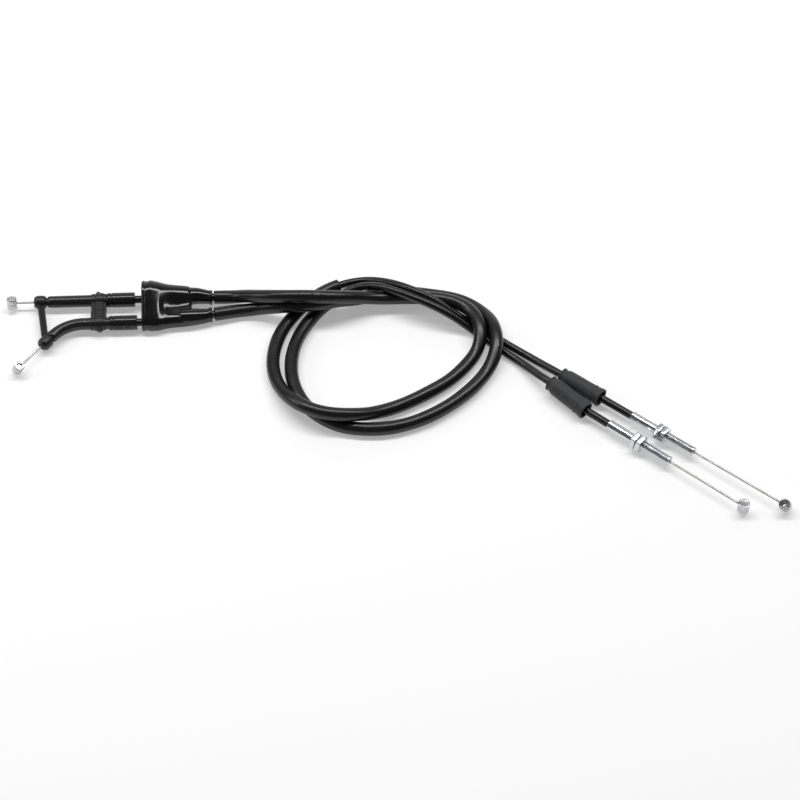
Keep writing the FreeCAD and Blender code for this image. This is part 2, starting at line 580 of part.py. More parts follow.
def collar_body(name):
    """A grooved collar, bored wide for the tube and narrow for the casing."""
    radius, length, chamfer = dims.collar_rad, dims.collar_len, dims.collar_chamfer
    groove, groove_rad = dims.collar_groove_at, dims.collar_groove_rad
    groove_end = groove + dims.collar_groove_len
    depth = dims.collar_tube_depth
    return turned(name, [
        (0, dims.tube_rad), (0, radius - chamfer), (chamfer, radius), (groove, radius),
        (groove, groove_rad), (groove_end, groove_rad), (groove_end, radius),
        (length - chamfer / 2, radius), (length, radius - chamfer / 2),
        (length, dims.jacket_rad), (depth, dims.jacket_rad), (depth, dims.tube_rad)])


def return_collar():
    """The return collar carries two small round bumps on its upper +y side."""
    plain = collar_body("return_collar_body")
    bumps = [cylinder(f"return_collar_bump_{i}", dims.bump_rad, dims.bump_len,
                      Vector(x, dims.bump_side, dims.collar_rad - dims.bump_sink), BUMP_AXIS)
             for i, x in enumerate(BUMP_XS, 1)]
    keep(fuse("return_collar", [plain] + bumps), head(RETURN_COLLAR_X, RETURN_Y))


keep(collar_body("pull_collar"), head(PULL_COLLAR_X, PULL_Y))
return_collar()

# ---------------------------------------------------------------- twin boot

# The boot lies slumped on the floor: its +y side stands higher than its -y one.
# Each station is an outline round two circles. Columns: x; then y, z and the amount the radius
# is under boot_mouth_rad for the +y circle; then y, z and the amount under boot_low_rad
# for the -y circle.
BOOT_STATIONS = [
    (0.0, 9.58, 3.32, 0.0, -8.48, 0.62, 0.0),
    (dims.boot_rim_len, 9.58, 3.32, 0.0, -8.48, 0.62, 0.0),
    (2.6, 9.58, 3.32, dims.boot_rim_groove, -8.48, 0.62, dims.boot_rim_groove),
    (6.0, 9.76, 3.32, 0.0, -8.55, 0.62, 0.0),
    (10.7, 9.72, 2.62, 0.7, -8.41, 0.52, 0.1),
    (13.8, 9.94, 1.92, 1.4, -7.58, 0.22, 0.4),
    (17.0, 10.05, 1.42, 1.9, -7.08, 0.02, 0.6),
    (20.7, 10.11, 1.12, 2.2, -6.71, -0.08, 0.7),
    (26.3, 10.58, 0.52, 2.8, -6.48, -0.28, 0.9),
    (30.8, 10.90, -0.08, 3.4, -6.03, -0.48, 1.1),
]
# The hollow skips the rim groove and stops short of the last station.
HOLLOW_STATIONS = BOOT_STATIONS[:1] + BOOT_STATIONS[3:9] + [
    (28.6, 10.7, 0.22, 3.2, -6.3, -0.38, 1.05)]

# Neck centres (y, z) at the five places where the necks are shaped
NECK_CENTRES = {
    "pull": ((10.75, -0.05), (11.29, -0.5), (10.74, -0.75), (10.1, -0.72), (9.83, -0.68)),
    "return": ((-6.1, -0.45), (-5.77, -0.5), (-5.25, -0.75), (-4.75, -0.72), (-4.4, -0.68)),
}
BORE_START = (27.0, -0.2, -0.2)     # x, y from the first neck centre, z


def lobe_sketch(body, name, station, wall):
    """The outline round a station's two circles, inset by the wall, across the body's x."""
    x, high_y, high_z, high_less, low_y, low_z, low_less = station
    sketch = body_sketch(body, name, "YZ_Plane", Vector(0, 0, x))
    high, low = Vector(high_y, high_z, 0), Vector(low_y, low_z, 0)
    high_rad = dims.boot_mouth_rad - high_less - wall
    low_rad = dims.boot_low_rad - low_less - wall
    span = high - low
    lean = math.atan2(span.y, span.x)
    flare = math.asin((high_rad - low_rad) / span.Length)
    top, under = lean + flare + math.pi / 2, lean - flare - math.pi / 2

    def on_circle(centre, radius, angle):
        return centre + Vector(radius * math.cos(angle), radius * math.sin(angle), 0)

    sketch.addGeometry(Part.LineSegment(on_circle(low, low_rad, top),
                                        on_circle(high, high_rad, top)))
    sketch.addGeometry(Part.ArcOfCircle(Part.Circle(high, Z_AXIS, high_rad), under, top))
    sketch.addGeometry(Part.LineSegment(on_circle(high, high_rad, under),
                                        on_circle(low, low_rad, under)))
    sketch.addGeometry(Part.ArcOfCircle(Part.Circle(low, Z_AXIS, low_rad),
                                        top, under + 2 * math.pi))
    for joint in ((0, 2, 1, 2), (1, 1, 2, 1), (2, 2, 3, 2), (3, 1, 0, 1)):
        sketch.addConstraint(Sketcher.Constraint("Tangent", *joint))
    for arc, centre, radius in ((1, high, high_rad), (3, low, low_rad)):
        measure(sketch, "DistanceX", (-1, 1, arc, 3), centre.x)
        measure(sketch, "DistanceY", (-1, 1, arc, 3), centre.y)
        measure(sketch, "Radius", (arc,), radius)
    return sketch


def circle_sketch(body, name, x, centre, radius):
    """A circle round a (y, z) centre, across the body's x axis."""
    sketch = body_sketch(body, name, "YZ_Plane", Vector(*centre, x))
    sketch.addGeometry(Part.Circle(ORIGIN, Z_AXIS, radius))
    sketch.addConstraint(Sketcher.Constraint("Coincident", 0, 3, -1, 1))
    measure(sketch, "Radius", (0,), radius)
    return sketch


def neck_stations(centres):
    """The x, centre and radius of each section of a neck's outside."""
    radius, lip = dims.boot_neck_rad, dims.boot_lip_rad
    lip_at = dims.boot_len - dims.boot_lip_len
    return [(29.6, centres[0], radius + 1.05), (34.0, centres[1], radius + 0.75),
            (38.7, centres[2], radius + 0.25), (41.3, centres[3], radius),
            (lip_at, centres[4], lip), (dims.boot_len, centres[4], lip)]


def bore_stations(centres):
    """The x, centre and radius of each section of a neck's bore, which overruns the end."""
    radius = dims.boot_neck_bore_rad
    start_x, start_dy, start_z = BORE_START
    return [(start_x, (centres[0][0] + start_dy, start_z), radius + 0.9),
            (30.0, centres[0], radius + 0.95), (34.0, centres[1], radius + 0.75),
            (38.7, centres[2], radius + 0.2), (41.3, centres[3], radius),
            (dims.boot_len + 0.5, centres[4], radius)]


def twin_boot():
    """One wide hollow mouth over both tubes that splits into two necks."""
    boot = doc.addObject("PartDesign::Body", "twin_boot")

    def loft_lobes(kind, name, section_name, stations, wall):
        loft(boot, kind, name, [lobe_sketch(boot, f"{section_name}_{i}", station, wall)
                                for i, station in enumerate(stations)])

    def loft_circles(kind, name, section_name, stations):
        loft(boot, kind, name, [circle_sketch(boot, f"{section_name}_{i}", *station)
                                for i, station in enumerate(stations)])

    loft_lobes("AdditiveLoft", "boot_outside", "boot_section", BOOT_STATIONS, 0.0)
    for side, centres in NECK_CENTRES.items():
        loft_circles("AdditiveLoft", side + "_neck", side + "_neck_section",
                     neck_stations(centres))
    loft_lobes("SubtractiveLoft", "boot_hollow", "boot_hollow", HOLLOW_STATIONS, dims.boot_wall)
    for side, centres in NECK_CENTRES.items():
        loft_circles("SubtractiveLoft", side + "_neck_bore", side + "_bore_section",
                     bore_stations(centres))
    keep(boot, head(BOOT_X, dims.head_mid))


twin_boot()

# ---------------------------------------------------------------- single boots


def dust_boot(name, place):
    """A round boot with a flanged neck at its start and a flared rim at its end."""
    bore, cavity = dims.dust_bore_rad, dims.dust_cavity_rad
    length, neck_len = dims.dust_len, dims.dust_neck_len
    flange_len, flange_rad = dims.dust_flange_len, dims.dust_flange_rad
    keep(turned(name, [
        (0, bore), (0, flange_rad), (flange_len, flange_rad), (flange_len, dims.dust_neck_rad),
        (dims.dust_neck_straight, dims.dust_neck_rad), (neck_len, dims.dust_rad),
        (length - dims.dust_flare_from_end, dims.dust_rad),
        (length - dims.dust_rim_len, dims.dust_flare_rad), (length, dims.dust_flare_rad),
        (length, cavity), (neck_len, cavity), (neck_len - dims.dust_cavity_taper, bore)]), place)


dust_boot("pull_dust_boot", along(PULL_TAIL, PULL_DUST_AT))
dust_boot("return_dust_boot", along(RETURN_DUST, RETURN_DUST_AT))

# ---------------------------------------------------------------- adjusters and jam nuts


def adjuster(name, place):
    """A ferrule that takes the casing's end, then a necked and relieved stem for the nuts."""
    collar_rad, collar_len = dims.ferrule_collar_rad, dims.ferrule_collar_len
    collar_chamfer, tip_chamfer = dims.ferrule_collar_chamfer, dims.ferrule_chamfer
    ferrule_rad, ferrule_len = dims.ferrule_rad, dims.ferrule_len
    stem_rad, neck_rad = dims.stem_rad, dims.stem_neck_rad
    neck_end = ferrule_len + dims.stem_neck_len
    relief_end = dims.relief_at + dims.relief_len
    length, chamfer = dims.adjuster_len, dims.stem_chamfer
    keep(turned(name, [
        (0, dims.jacket_rad), (0, collar_rad - collar_chamfer), (collar_chamfer, collar_rad),
        (collar_len, collar_rad), (collar_len, ferrule_rad),
        (ferrule_len - tip_chamfer, ferrule_rad), (ferrule_len, ferrule_rad - tip_chamfer),
        (ferrule_len, neck_rad), (neck_end, neck_rad), (neck_end, stem_rad),
        (dims.relief_at, stem_rad), (dims.relief_at, dims.relief_rad),
        (relief_end, dims.relief_rad), (relief_end, stem_rad),
        (length - chamfer, stem_rad), (length, stem_rad - chamfer),
        (length, dims.stem_bore_rad), (dims.ferrule_bore_depth, dims.stem_bore_rad),
        (dims.ferrule_bore_depth, dims.jacket_rad)]), place)


def jam_nut(name, place):
    """A hexagon trimmed by a bored, chamfered round blank."""
    thick, chamfer, bore = dims.nut_thick, dims.nut_chamfer, dims.nut_bore_rad
    corner_rad = dims.nut_flats / math.sqrt(3.0)
    hexagon = doc.addObject("Part::Prism", name + "_hex")
    hexagon.Polygon = 6
    bind(hexagon, "Circumradius", corner_rad)
    bind(hexagon, "Height", thick)
    hexagon.Placement = Placement(ORIGIN, Rotation(X_AXIS, 30) * Rotation(Y_AXIS, 90))
    blank_rad = corner_rad + dims.nut_margin
    face_rad = dims.nut_flats / 2 - dims.nut_margin
    nut = doc.addObject("Part::Common", name + "_nut")
    nut.Base = hexagon
    nut.Tool = turned(name + "_blank", [
        (0, bore), (0, face_rad), (chamfer, blank_rad), (thick - chamfer, blank_rad),
        (thick, face_rad), (thick, bore)])
    keep(nut, place)


rear_nut_at = dims.nut_mid - dims.nut_gap / 2 - dims.nut_thick
front_nut_at = dims.nut_mid + dims.nut_gap / 2
for side, tail, adjuster_at, nut_roll in (("pull", PULL_TAIL, PULL_ADJUSTER_AT, 3.0),
                                          ("return", RETURN_TAIL, RETURN_ADJUSTER_AT, 8.0)):
    adjuster(side + "_adjuster", along(tail, adjuster_at))
    jam_nut(side + "_rear", along(tail, adjuster_at + rear_nut_at, nut_roll))
    jam_nut(side + "_front", along(tail, adjuster_at + front_nut_at, nut_roll))

# ---------------------------------------------------------------- ends of the wires


def nipple(name, radius, length, place, tilt):
    """A barrel centred on a frame, square to the wire that enters it along the x axis."""
    turn = Rotation(X_AXIS, tilt)

    def upright(part_name, part_rad, part_len, bottom):
        rod = cylinder(part_name, part_rad, part_len)
        rod.Placement = Placement(turn.multVec(Vector(0, 0, bottom)), turn)
        return rod

    dimple_len, hole_len = 3.0, 8.0
    waist_len = dims.nipple_waist_len
    barrel = upright(name + "_barrel", radius, length, -length / 2)
    dimple = upright(name + "_dimple", dims.nipple_dimple_rad, dimple_len,
                     length / 2 - dims.nipple_dimple_depth)
    hole = cylinder(name + "_hole", dims.wire_rad, hole_len,
                    Vector(dims.nipple_wire_depth - radius, 0, 0), X_AXIS * -1)
    waist = cut(name + "_waist",
                upright(name + "_waist_round", radius + 1, waist_len, -waist_len / 2),
                upright(name + "_waist_core", radius - dims.nipple_waist_depth, waist_len,
                        -waist_len / 2))
    keep(cut(name, barrel, fuse(name + "_cuts", [dimple, hole, waist])), place)


def wire_end(name, frame, back, nipple_at, radius, length, tilt):
    """A straight wire on a frame's x axis, from 'back' behind its origin to its nipple."""
    wire_stop = nipple_at - radius + dims.nipple_wire_depth
    wire = cylinder(name + "_wire", dims.wire_rad, wire_stop + back)
    keep(wire, frame * Placement(Vector(-back, 0, 0), Rotation(Z_AXIS, X_AXIS)))
    nipple_frame = frame * Placement(Vector(nipple_at, 0, 0), Rotation())
    nipple(name + "_nipple", radius, length, nipple_frame, tilt)


# Grip ends: the frames sit at the eyes and look outward along each wire.
wire_end("pull_grip",
         head(PULL_EYE_X, PULL_Y) * Placement(ORIGIN, Rotation(Z_AXIS, 180)),
         back=dims.pull_wire_end, nipple_at=dims.pull_nipple_at,
         radius=dims.grip_nipple_rad, length=dims.grip_nipple_len, tilt=20.0)
wire_end("return_grip",
         head(ELBOW_X, RETURN_Y) * Placement(RETURN_EYE, Rotation(X_AXIS, EXIT_DIR)),
         back=dims.return_wire_end, nipple_at=dims.return_nipple_at,
         radius=dims.grip_nipple_rad, length=dims.grip_nipple_len, tilt=-25.0)

# Carburettor ends: the frames sit at the adjusters' tips and look along each wire.
wire_end("pull_tail", along(PULL_TAIL, PULL_ADJUSTER_AT + dims.adjuster_len),
         back=dims.pull_tail_stub, nipple_at=dims.pull_tail_nipple,
         radius=dims.carb_nipple_rad, length=dims.carb_nipple_len, tilt=30.0)
wire_end("return_tail", along(RETURN_TAIL, RETURN_ADJUSTER_AT + dims.adjuster_len),
         back=dims.return_tail_stub, nipple_at=dims.return_tail_nipple,
         radius=dims.carb_nipple_rad, length=dims.carb_nipple_len, tilt=0.0)

# ---------------------------------------------------------------- check and write

doc.recompute()
faults = [f"{obj.Name}: {obj.State}" for obj in doc.Objects
          if "Invalid" in obj.State or "Error" in obj.State]
for piece in pieces:
    shape = piece.Shape
    if shape.isNull() or not shape.isValid() or not shape.Solids:
        faults.append(f"{piece.Name}: no sound shape")
if faults:
    raise RuntimeError("; ".join(faults))

os.makedirs("parts", exist_ok=True)
for piece in pieces:
    piece.Shape.exportStep(os.path.join("parts", piece.Label + ".step"))
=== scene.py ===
import bpy
import math
import numpy as np
from mathutils import Matrix, Vector


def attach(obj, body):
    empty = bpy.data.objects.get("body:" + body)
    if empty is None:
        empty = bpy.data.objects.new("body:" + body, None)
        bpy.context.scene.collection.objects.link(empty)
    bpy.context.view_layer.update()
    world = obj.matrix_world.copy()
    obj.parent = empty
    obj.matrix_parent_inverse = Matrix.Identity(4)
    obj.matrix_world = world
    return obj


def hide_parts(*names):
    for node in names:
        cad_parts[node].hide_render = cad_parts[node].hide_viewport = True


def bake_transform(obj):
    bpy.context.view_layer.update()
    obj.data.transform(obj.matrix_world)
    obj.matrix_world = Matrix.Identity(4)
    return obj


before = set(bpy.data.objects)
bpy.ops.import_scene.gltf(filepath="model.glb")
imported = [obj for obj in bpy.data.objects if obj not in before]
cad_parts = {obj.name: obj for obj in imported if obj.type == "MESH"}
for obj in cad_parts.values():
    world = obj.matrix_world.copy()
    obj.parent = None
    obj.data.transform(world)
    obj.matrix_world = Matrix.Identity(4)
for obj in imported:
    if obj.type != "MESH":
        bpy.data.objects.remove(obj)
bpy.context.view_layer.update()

MM = 0.001
SHIFT = np.array([6.859, -2.985, -0.02])

# ------------------------------------------------------------------ frames (millimetres)

th = math.radians(2.2)
HD = np.array([math.cos(th), math.sin(th), 0.0])
HN = np.array([-math.sin(th), math.cos(th), 0.0])
UP = np.array([0.0, 0.0, 1.0])
PULL_Y, RETURN_Y = 81.203, 62.603
HEAD_Z = 6.0


def head(x, y, z=0.0):
    return x * HD + y * HN + np.array([0.0, 0.0, HEAD_Z + z]) + SHIFT


def unit(v):
    v = np.array(v, float)
    return v / np.linalg.norm(v)


class Frame:
    """A local frame: columns x, y, z and an origin, in millimetres."""

    def __init__(self, o, x, z_hint=(0, 0, 1), roll=0.0):
        self.o = np.array(o, float)
        x = unit(x)
        y = unit(np.cross(z_hint, x))
        z = np.cross(x, y)
        c, s = math.cos(math.radians(roll)), math.sin(math.radians(roll))
        self.x, self.y, self.z = x, c * y + s * z, -s * y + c * z

    def pt(self, p):
        p = np.atleast_2d(np.array(p, float))
        return self.o + p[:, :1] * self.x + p[:, 1:2] * self.y + p[:, 2:3] * self.z


PULL_TAIL = (np.array([99.31, 14.31, 5.9]) + SHIFT, unit([0.7951, -0.6064, 0.0]))
RETURN_TAIL = (np.array([118.42, -17.26, 5.9]) + SHIFT, unit([0.783, -0.622, 0.0]))
RETURN_DUST = (np.array([91.08, 7.687, 7.9]) + SHIFT, unit([0.71806, -0.69339, -0.06007]))
TURN = math.radians(50.5)
BEND = 24.0
ELBOW_X = -194.0
PULL_EYE = head(-221.3, PULL_Y)


def from_elbow(x, y):
    return head(ELBOW_X + x, RETURN_Y + y)


EXIT0 = np.array([-BEND * math.sin(TURN), -BEND + BEND * math.cos(TURN)])
EXIT_D2 = np.array([-math.cos(TURN), -math.sin(TURN)])
EXIT_D = EXIT_D2[0] * HD + EXIT_D2[1] * HN
RETURN_EYE = from_elbow(*(EXIT0 + EXIT_D2 * 6.9))

PULL_POINTS = [
    (-155.90, 75.27, 6.00), (-150.76, 75.40, 5.98), (-145.71, 75.53, 5.93),
    (-140.69, 75.78, 5.85), (-135.59, 76.11, 5.74), (-130.42, 76.45, 5.62),
    (-125.22, 76.78, 5.51), (-120.01, 77.11, 5.42), (-114.81, 77.43, 5.28),
    (-109.59, 77.54, 5.30), (-104.49, 77.01, 6.14), (-99.83, 75.73, 8.08),
    (-95.58, 73.92, 10.50), (-91.41, 71.86, 12.87), (-87.12, 69.88, 15.07),
    (-82.62, 68.15, 17.07), (-77.91, 66.71, 18.80), (-73.01, 65.58, 20.16),
    (-67.94, 64.77, 21.10), (-62.78, 64.28, 21.63), (-57.56, 64.09, 21.74),
    (-52.36, 64.23, 21.44), (-47.21, 64.70, 20.75), (-42.17, 65.51, 19.67),
    (-37.29, 66.65, 18.23), (-32.61, 68.12, 16.46), (-28.06, 69.73, 14.48),
    (-23.47, 71.24, 12.50), (-18.73, 72.47, 10.71), (-13.78, 73.37, 9.35),
    (-8.66, 73.98, 8.55), (-3.47, 74.38, 8.30), (1.74, 74.51, 8.40), (6.95, 74.32, 8.66),
    (12.14, 73.91, 8.99), (17.32, 73.37, 9.34), (22.47, 72.64, 9.63), (27.58, 71.59, 9.75),
    (32.57, 70.05, 9.77), (37.27, 67.81, 9.82), (41.45, 64.71, 9.98), (44.87, 60.78, 10.22),
    (47.35, 56.21, 10.39), (48.89, 51.23, 10.24), (49.55, 46.13, 9.45), (49.32, 41.12, 8.03),
    (48.10, 36.30, 6.46), (45.98, 31.71, 5.20), (43.20, 27.35, 4.51), (40.13, 23.15, 4.24),
    (36.87, 19.07, 4.20), (33.38, 15.20, 4.20), (29.62, 11.58, 4.20), (25.59, 8.28, 4.20),
    (21.38, 5.20, 4.20), (17.07, 2.26, 4.20), (12.68, -0.57, 4.20), (8.22, -3.26, 4.20),
    (3.65, -5.79, 4.20), (-0.99, -8.17, 4.31), (-5.65, -10.47, 4.74), (-10.27, -12.75, 5.58),
    (-14.79, -15.00, 6.87), (-19.29, -17.10, 8.47), (-23.90, -18.88, 10.16),
    (-28.75, -20.17, 11.54), (-33.86, -20.82, 12.38), (-39.05, -20.73, 12.75),
    (-44.20, -19.89, 12.74), (-49.17, -18.34, 12.48), (-53.88, -16.15, 12.03),
    (-58.27, -13.41, 11.39), (-62.26, -10.17, 10.54), (-65.79, -6.48, 9.46),
    (-68.81, -2.43, 8.18), (-71.37, 1.91, 6.83), (-73.55, 6.49, 5.62), (-75.37, 11.30, 4.75),
    (-76.78, 16.30, 4.32), (-77.67, 21.44, 4.20), (-78.02, 26.64, 4.21), (-77.83, 31.85, 4.21),
    (-77.16, 37.03, 4.20), (-76.06, 42.13, 4.20), (-74.56, 47.12, 4.22), (-72.64, 51.97, 4.24),
    (-70.30, 56.63, 4.21), (-67.64, 61.12, 4.18), (-64.74, 65.45, 4.18), (-61.59, 69.61, 4.21),
    (-58.15, 73.54, 4.21), (-54.44, 77.20, 4.20), (-50.46, 80.57, 4.20), (-46.20, 83.59, 4.21),
    (-41.69, 86.20, 4.22), (-36.97, 88.43, 4.17), (-32.06, 90.16, 4.14), (-26.94, 91.13, 4.39),
    (-21.80, 91.06, 5.19), (-16.92, 89.90, 6.58), (-12.45, 87.91, 8.38), (-8.29, 85.42, 10.31),
    (-4.28, 82.68, 12.20), (-0.23, 79.82, 13.84), (3.97, 76.98, 15.03), (8.38, 74.25, 15.64),
    (12.92, 71.69, 15.64), (17.53, 69.33, 15.04), (22.10, 67.13, 13.83), (26.54, 65.08, 12.01),
    (30.83, 63.19, 9.74), (35.11, 61.48, 7.29), (39.52, 59.85, 5.03), (44.15, 58.04, 3.47),
    (48.72, 55.65, 2.75), (52.92, 52.57, 2.55), (56.91, 49.20, 2.54), (60.89, 45.82, 2.56),
    (64.97, 42.57, 2.56), (69.12, 39.42, 2.55), (73.29, 36.28, 2.56), (77.43, 33.11, 2.68),
    (81.51, 29.87, 2.97), (85.48, 26.53, 3.47), (89.28, 23.04, 4.35), (92.99, 19.48, 5.40),
    (96.92, 16.13, 5.90),
]

RETURN_POINTS = [
    (-155.19, 56.68, 6.00), (-150.12, 57.06, 5.97), (-145.23, 57.65, 5.92),
    (-140.35, 58.42, 5.84), (-135.38, 59.32, 5.72), (-130.32, 60.30, 5.60),
    (-125.22, 61.35, 5.49), (-120.12, 62.38, 5.40), (-115.05, 63.55, 5.29),
    (-110.03, 64.85, 4.96), (-105.01, 66.17, 4.55), (-99.94, 67.27, 4.25),
    (-94.78, 67.85, 4.39), (-89.68, 67.82, 5.39), (-84.82, 67.13, 7.10), (-80.12, 66.02, 9.03),
    (-75.32, 64.99, 10.75), (-70.33, 64.32, 12.06), (-65.20, 64.06, 12.87),
    (-60.01, 64.24, 13.18), (-54.86, 64.91, 13.10), (-49.81, 66.09, 12.67),
    (-44.94, 67.71, 11.84), (-40.29, 69.66, 10.54), (-35.82, 71.77, 8.93),
    (-31.39, 73.87, 7.20), (-26.85, 75.89, 5.65), (-22.14, 77.84, 4.63), (-17.26, 79.58, 4.24),
    (-12.22, 80.88, 4.18), (-7.08, 81.67, 4.20), (-1.89, 82.00, 4.22), (3.31, 81.92, 4.21),
    (8.49, 81.51, 4.19), (13.66, 80.85, 4.18), (18.79, 80.04, 4.19), (23.92, 79.13, 4.19),
    (29.00, 78.04, 4.19), (34.00, 76.61, 4.20), (38.84, 74.69, 4.20), (43.37, 72.15, 4.22),
    (47.46, 68.94, 4.44), (50.94, 65.14, 5.09), (53.77, 60.95, 6.30), (55.97, 56.48, 7.76),
    (57.60, 51.71, 9.05), (58.74, 46.70, 9.81), (59.37, 41.54, 9.78), (59.35, 36.40, 9.04),
    (58.58, 31.40, 7.80), (57.10, 26.60, 6.46), (55.00, 21.99, 5.33), (52.44, 17.51, 4.61),
    (49.57, 13.19, 4.28), (46.45, 9.03, 4.20), (43.11, 5.04, 4.20), (39.55, 1.24, 4.21),
    (35.81, -2.37, 4.20), (31.89, -5.79, 4.20), (27.80, -9.01, 4.20), (23.56, -12.02, 4.20),
    (19.17, -14.80, 4.20), (14.62, -17.32, 4.20), (9.92, -19.57, 4.20), (5.10, -21.50, 4.20),
    (0.15, -23.10, 4.20), (-4.91, -24.31, 4.20), (-10.05, -25.11, 4.20),
    (-15.24, -25.50, 4.20), (-20.44, -25.50, 4.20), (-25.63, -25.12, 4.20),
    (-30.76, -24.31, 4.19), (-35.77, -22.92, 4.19), (-40.57, -20.90, 4.20),
    (-45.09, -18.34, 4.20), (-49.32, -15.31, 4.20), (-53.19, -11.84, 4.20),
    (-56.64, -7.94, 4.20), (-59.57, -3.65, 4.20), (-61.96, 0.97, 4.20), (-63.85, 5.81, 4.20),
    (-65.25, 10.82, 4.20), (-66.18, 15.94, 4.20), (-66.65, 21.12, 4.20), (-66.69, 26.32, 4.20),
    (-66.28, 31.51, 4.20), (-65.44, 36.64, 4.20), (-64.16, 41.68, 4.20), (-62.46, 46.59, 4.20),
    (-60.37, 51.36, 4.21), (-57.97, 55.97, 4.21), (-55.35, 60.47, 4.20), (-52.49, 64.81, 4.19),
    (-49.32, 68.94, 4.19), (-45.79, 72.75, 4.20), (-41.91, 76.22, 4.19), (-37.83, 79.44, 4.24),
    (-33.38, 81.97, 5.04), (-28.69, 82.97, 6.99), (-24.05, 82.63, 9.29),
    (-19.47, 81.42, 11.45), (-14.92, 79.66, 13.25), (-10.37, 77.52, 14.57),
    (-5.81, 75.17, 15.43), (-1.23, 72.76, 15.94), (3.40, 70.40, 16.20), (8.06, 68.08, 16.23),
    (12.75, 65.84, 16.02), (17.45, 63.68, 15.49), (22.14, 61.63, 14.57), (26.77, 59.75, 13.14),
    (31.29, 57.99, 11.26), (35.67, 56.30, 9.02), (39.92, 54.50, 6.62), (44.13, 52.33, 4.47),
    (48.27, 49.53, 3.06), (52.23, 46.20, 2.60), (56.12, 42.75, 2.54), (60.03, 39.31, 2.55),
    (63.96, 35.90, 2.54), (67.91, 32.52, 2.58), (71.82, 29.09, 2.73), (75.51, 25.47, 3.29),
    (78.89, 21.65, 4.31), (82.11, 17.75, 5.49), (85.36, 13.82, 6.55), (88.77, 10.02, 7.66),
    (92.41, 6.37, 7.94), (96.17, 2.78, 7.44), (99.91, -0.83, 7.14), (103.62, -4.46, 6.88),
    (107.38, -8.04, 6.52), (111.27, -11.47, 6.11), (115.29, -14.77, 5.90),
]


def spline(points, d0, d1, step):
    """A clamped cubic through the points, sampled at an even step. Returns the points."""
    P = np.array(points, float)
    u = np.r_[0, np.cumsum(np.linalg.norm(np.diff(P, axis=0), axis=1))]
    n = len(P)
    h = np.diff(u)
    A = np.zeros((n, n))
    R = np.zeros((n, 3))
    A[0, 0], A[0, 1] = 2 * h[0], h[0]
    R[0] = 6 * ((P[1] - P[0]) / h[0] - d0)
    A[-1, -1], A[-1, -2] = 2 * h[-1], h[-1]
    R[-1] = 6 * (d1 - (P[-1] - P[-2]) / h[-1])
    for i in range(1, n - 1):
        A[i, i - 1], A[i, i], A[i, i + 1] = h[i - 1], 2 * (h[i - 1] + h[i]), h[i]
        R[i] = 6 * ((P[i + 1] - P[i]) / h[i] - (P[i] - P[i - 1]) / h[i - 1])
    M = np.linalg.solve(A, R)
    t = np.linspace(0, u[-1], int(u[-1] / step) + 1)
    k = np.clip(np.searchsorted(u, t, side="right") - 1, 0, n - 2)
    a, b, hh = (u[k + 1] - t)[:, None], (t - u[k])[:, None], h[k][:, None]
    Q = (M[k] * a ** 3 + M[k + 1] * b ** 3) / (6 * hh) \
        + (P[k] / hh - M[k] * hh / 6) * a + (P[k + 1] / hh - M[k + 1] * hh / 6) * b
    return Q


class Path:
    """A curve with frames that turn as little as possible, read by length along it."""

    def __init__(self, P, z_hint=(0, 0, 1)):
        self.P = np.array(P, float)
        d = np.diff(self.P, axis=0)
        self.s = np.r_[0, np.cumsum(np.linalg.norm(d, axis=1))]
        T = np.gradient(self.P, self.s, axis=0)
        T /= np.linalg.norm(T, axis=1)[:, None]
        T[0], T[-1] = unit(d[0]), unit(d[-1])
        N = np.zeros_like(T)
        nrm = unit(np.cross(z_hint, T[0]))
        for i in range(len(T)):
            nrm = nrm - T[i] * np.dot(nrm, T[i])
            nrm /= np.linalg.norm(nrm)
            N[i] = nrm
        self.T, self.N = T, N

    def at(self, s):
        s = np.asarray(s, float)
        before = np.minimum(s, 0)[..., None]
        after = np.maximum(s - self.s[-1], 0)[..., None]
        P = np.stack([np.interp(s, self.s, self.P[:, k]) for k in range(3)], -1)
        T = np.stack([np.interp(s, self.s, self.T[:, k]) for k in range(3)], -1)
        N = np.stack([np.interp(s, self.s, self.N[:, k]) for k in range(3)], -1)
        T /= np.linalg.norm(T, axis=-1)[..., None]
        N = N - T * (N * T).sum(-1)[..., None]
        N /= np.linalg.norm(N, axis=-1)[..., None]
        P = P + T * (before + after)
        return P, T, N, np.cross(T, N)

    def near(self, p):
        return float(self.s[np.argmin(np.linalg.norm(self.P - p, axis=1))])


def straight(fr, length):
    return Path([fr.o, fr.o + fr.x * max(length, 1.0)], z_hint=fr.z)


# ------------------------------------------------------------------ mesh helpers

housing = "housing"


def to_object(name, verts, faces, smooth=True, angle=None):
    me = bpy.data.meshes.new(name)
    me.from_pydata((np.asarray(verts) * MM).tolist(), [], faces)
    me.update()
    ob = bpy.data.objects.new(name, me)
    bpy.context.scene.collection.objects.link(ob)
    if smooth:
        me.polygons.foreach_set("use_smooth", [True] * len(me.polygons))
        if angle:
            me.set_sharp_from_angle(angle=math.radians(angle))
    return ob


def grid_faces(n, m, close_n):
    f = []
    last = n if close_n else n - 1
    for i in range(last):
        a, b = i * m, ((i + 1) % n) * m
        for j in range(m):
            k = (j + 1) % m
            f.append((a + j, a + k, b + k, b + j))
    return f


def rounded(profile, steps=4):
    """Corners of (x, r) or (x, r, fillet) turned to arcs; the outline is closed."""
    out = []
    n = len(profile)
    for i in range(n):
        p = np.array(profile[i][:2], float)
        f = profile[i][2] if len(profile[i]) > 2 else 0.0
        if f <= 0:
            out.append(tuple(p))
            continue
        a = np.array(profile[i - 1][:2], float) - p
        b = np.array(profile[(i + 1) % n][:2], float) - p
        la, lb = np.linalg.norm(a), np.linalg.norm(b)
        f = min(f, 0.49 * la, 0.49 * lb)
        a, b = a / la, b / lb
        for k in range(steps + 1):
            t = k / steps
            out.append(tuple(p + a * f * (1 - t) ** 2 + b * f * t ** 2))
    return out


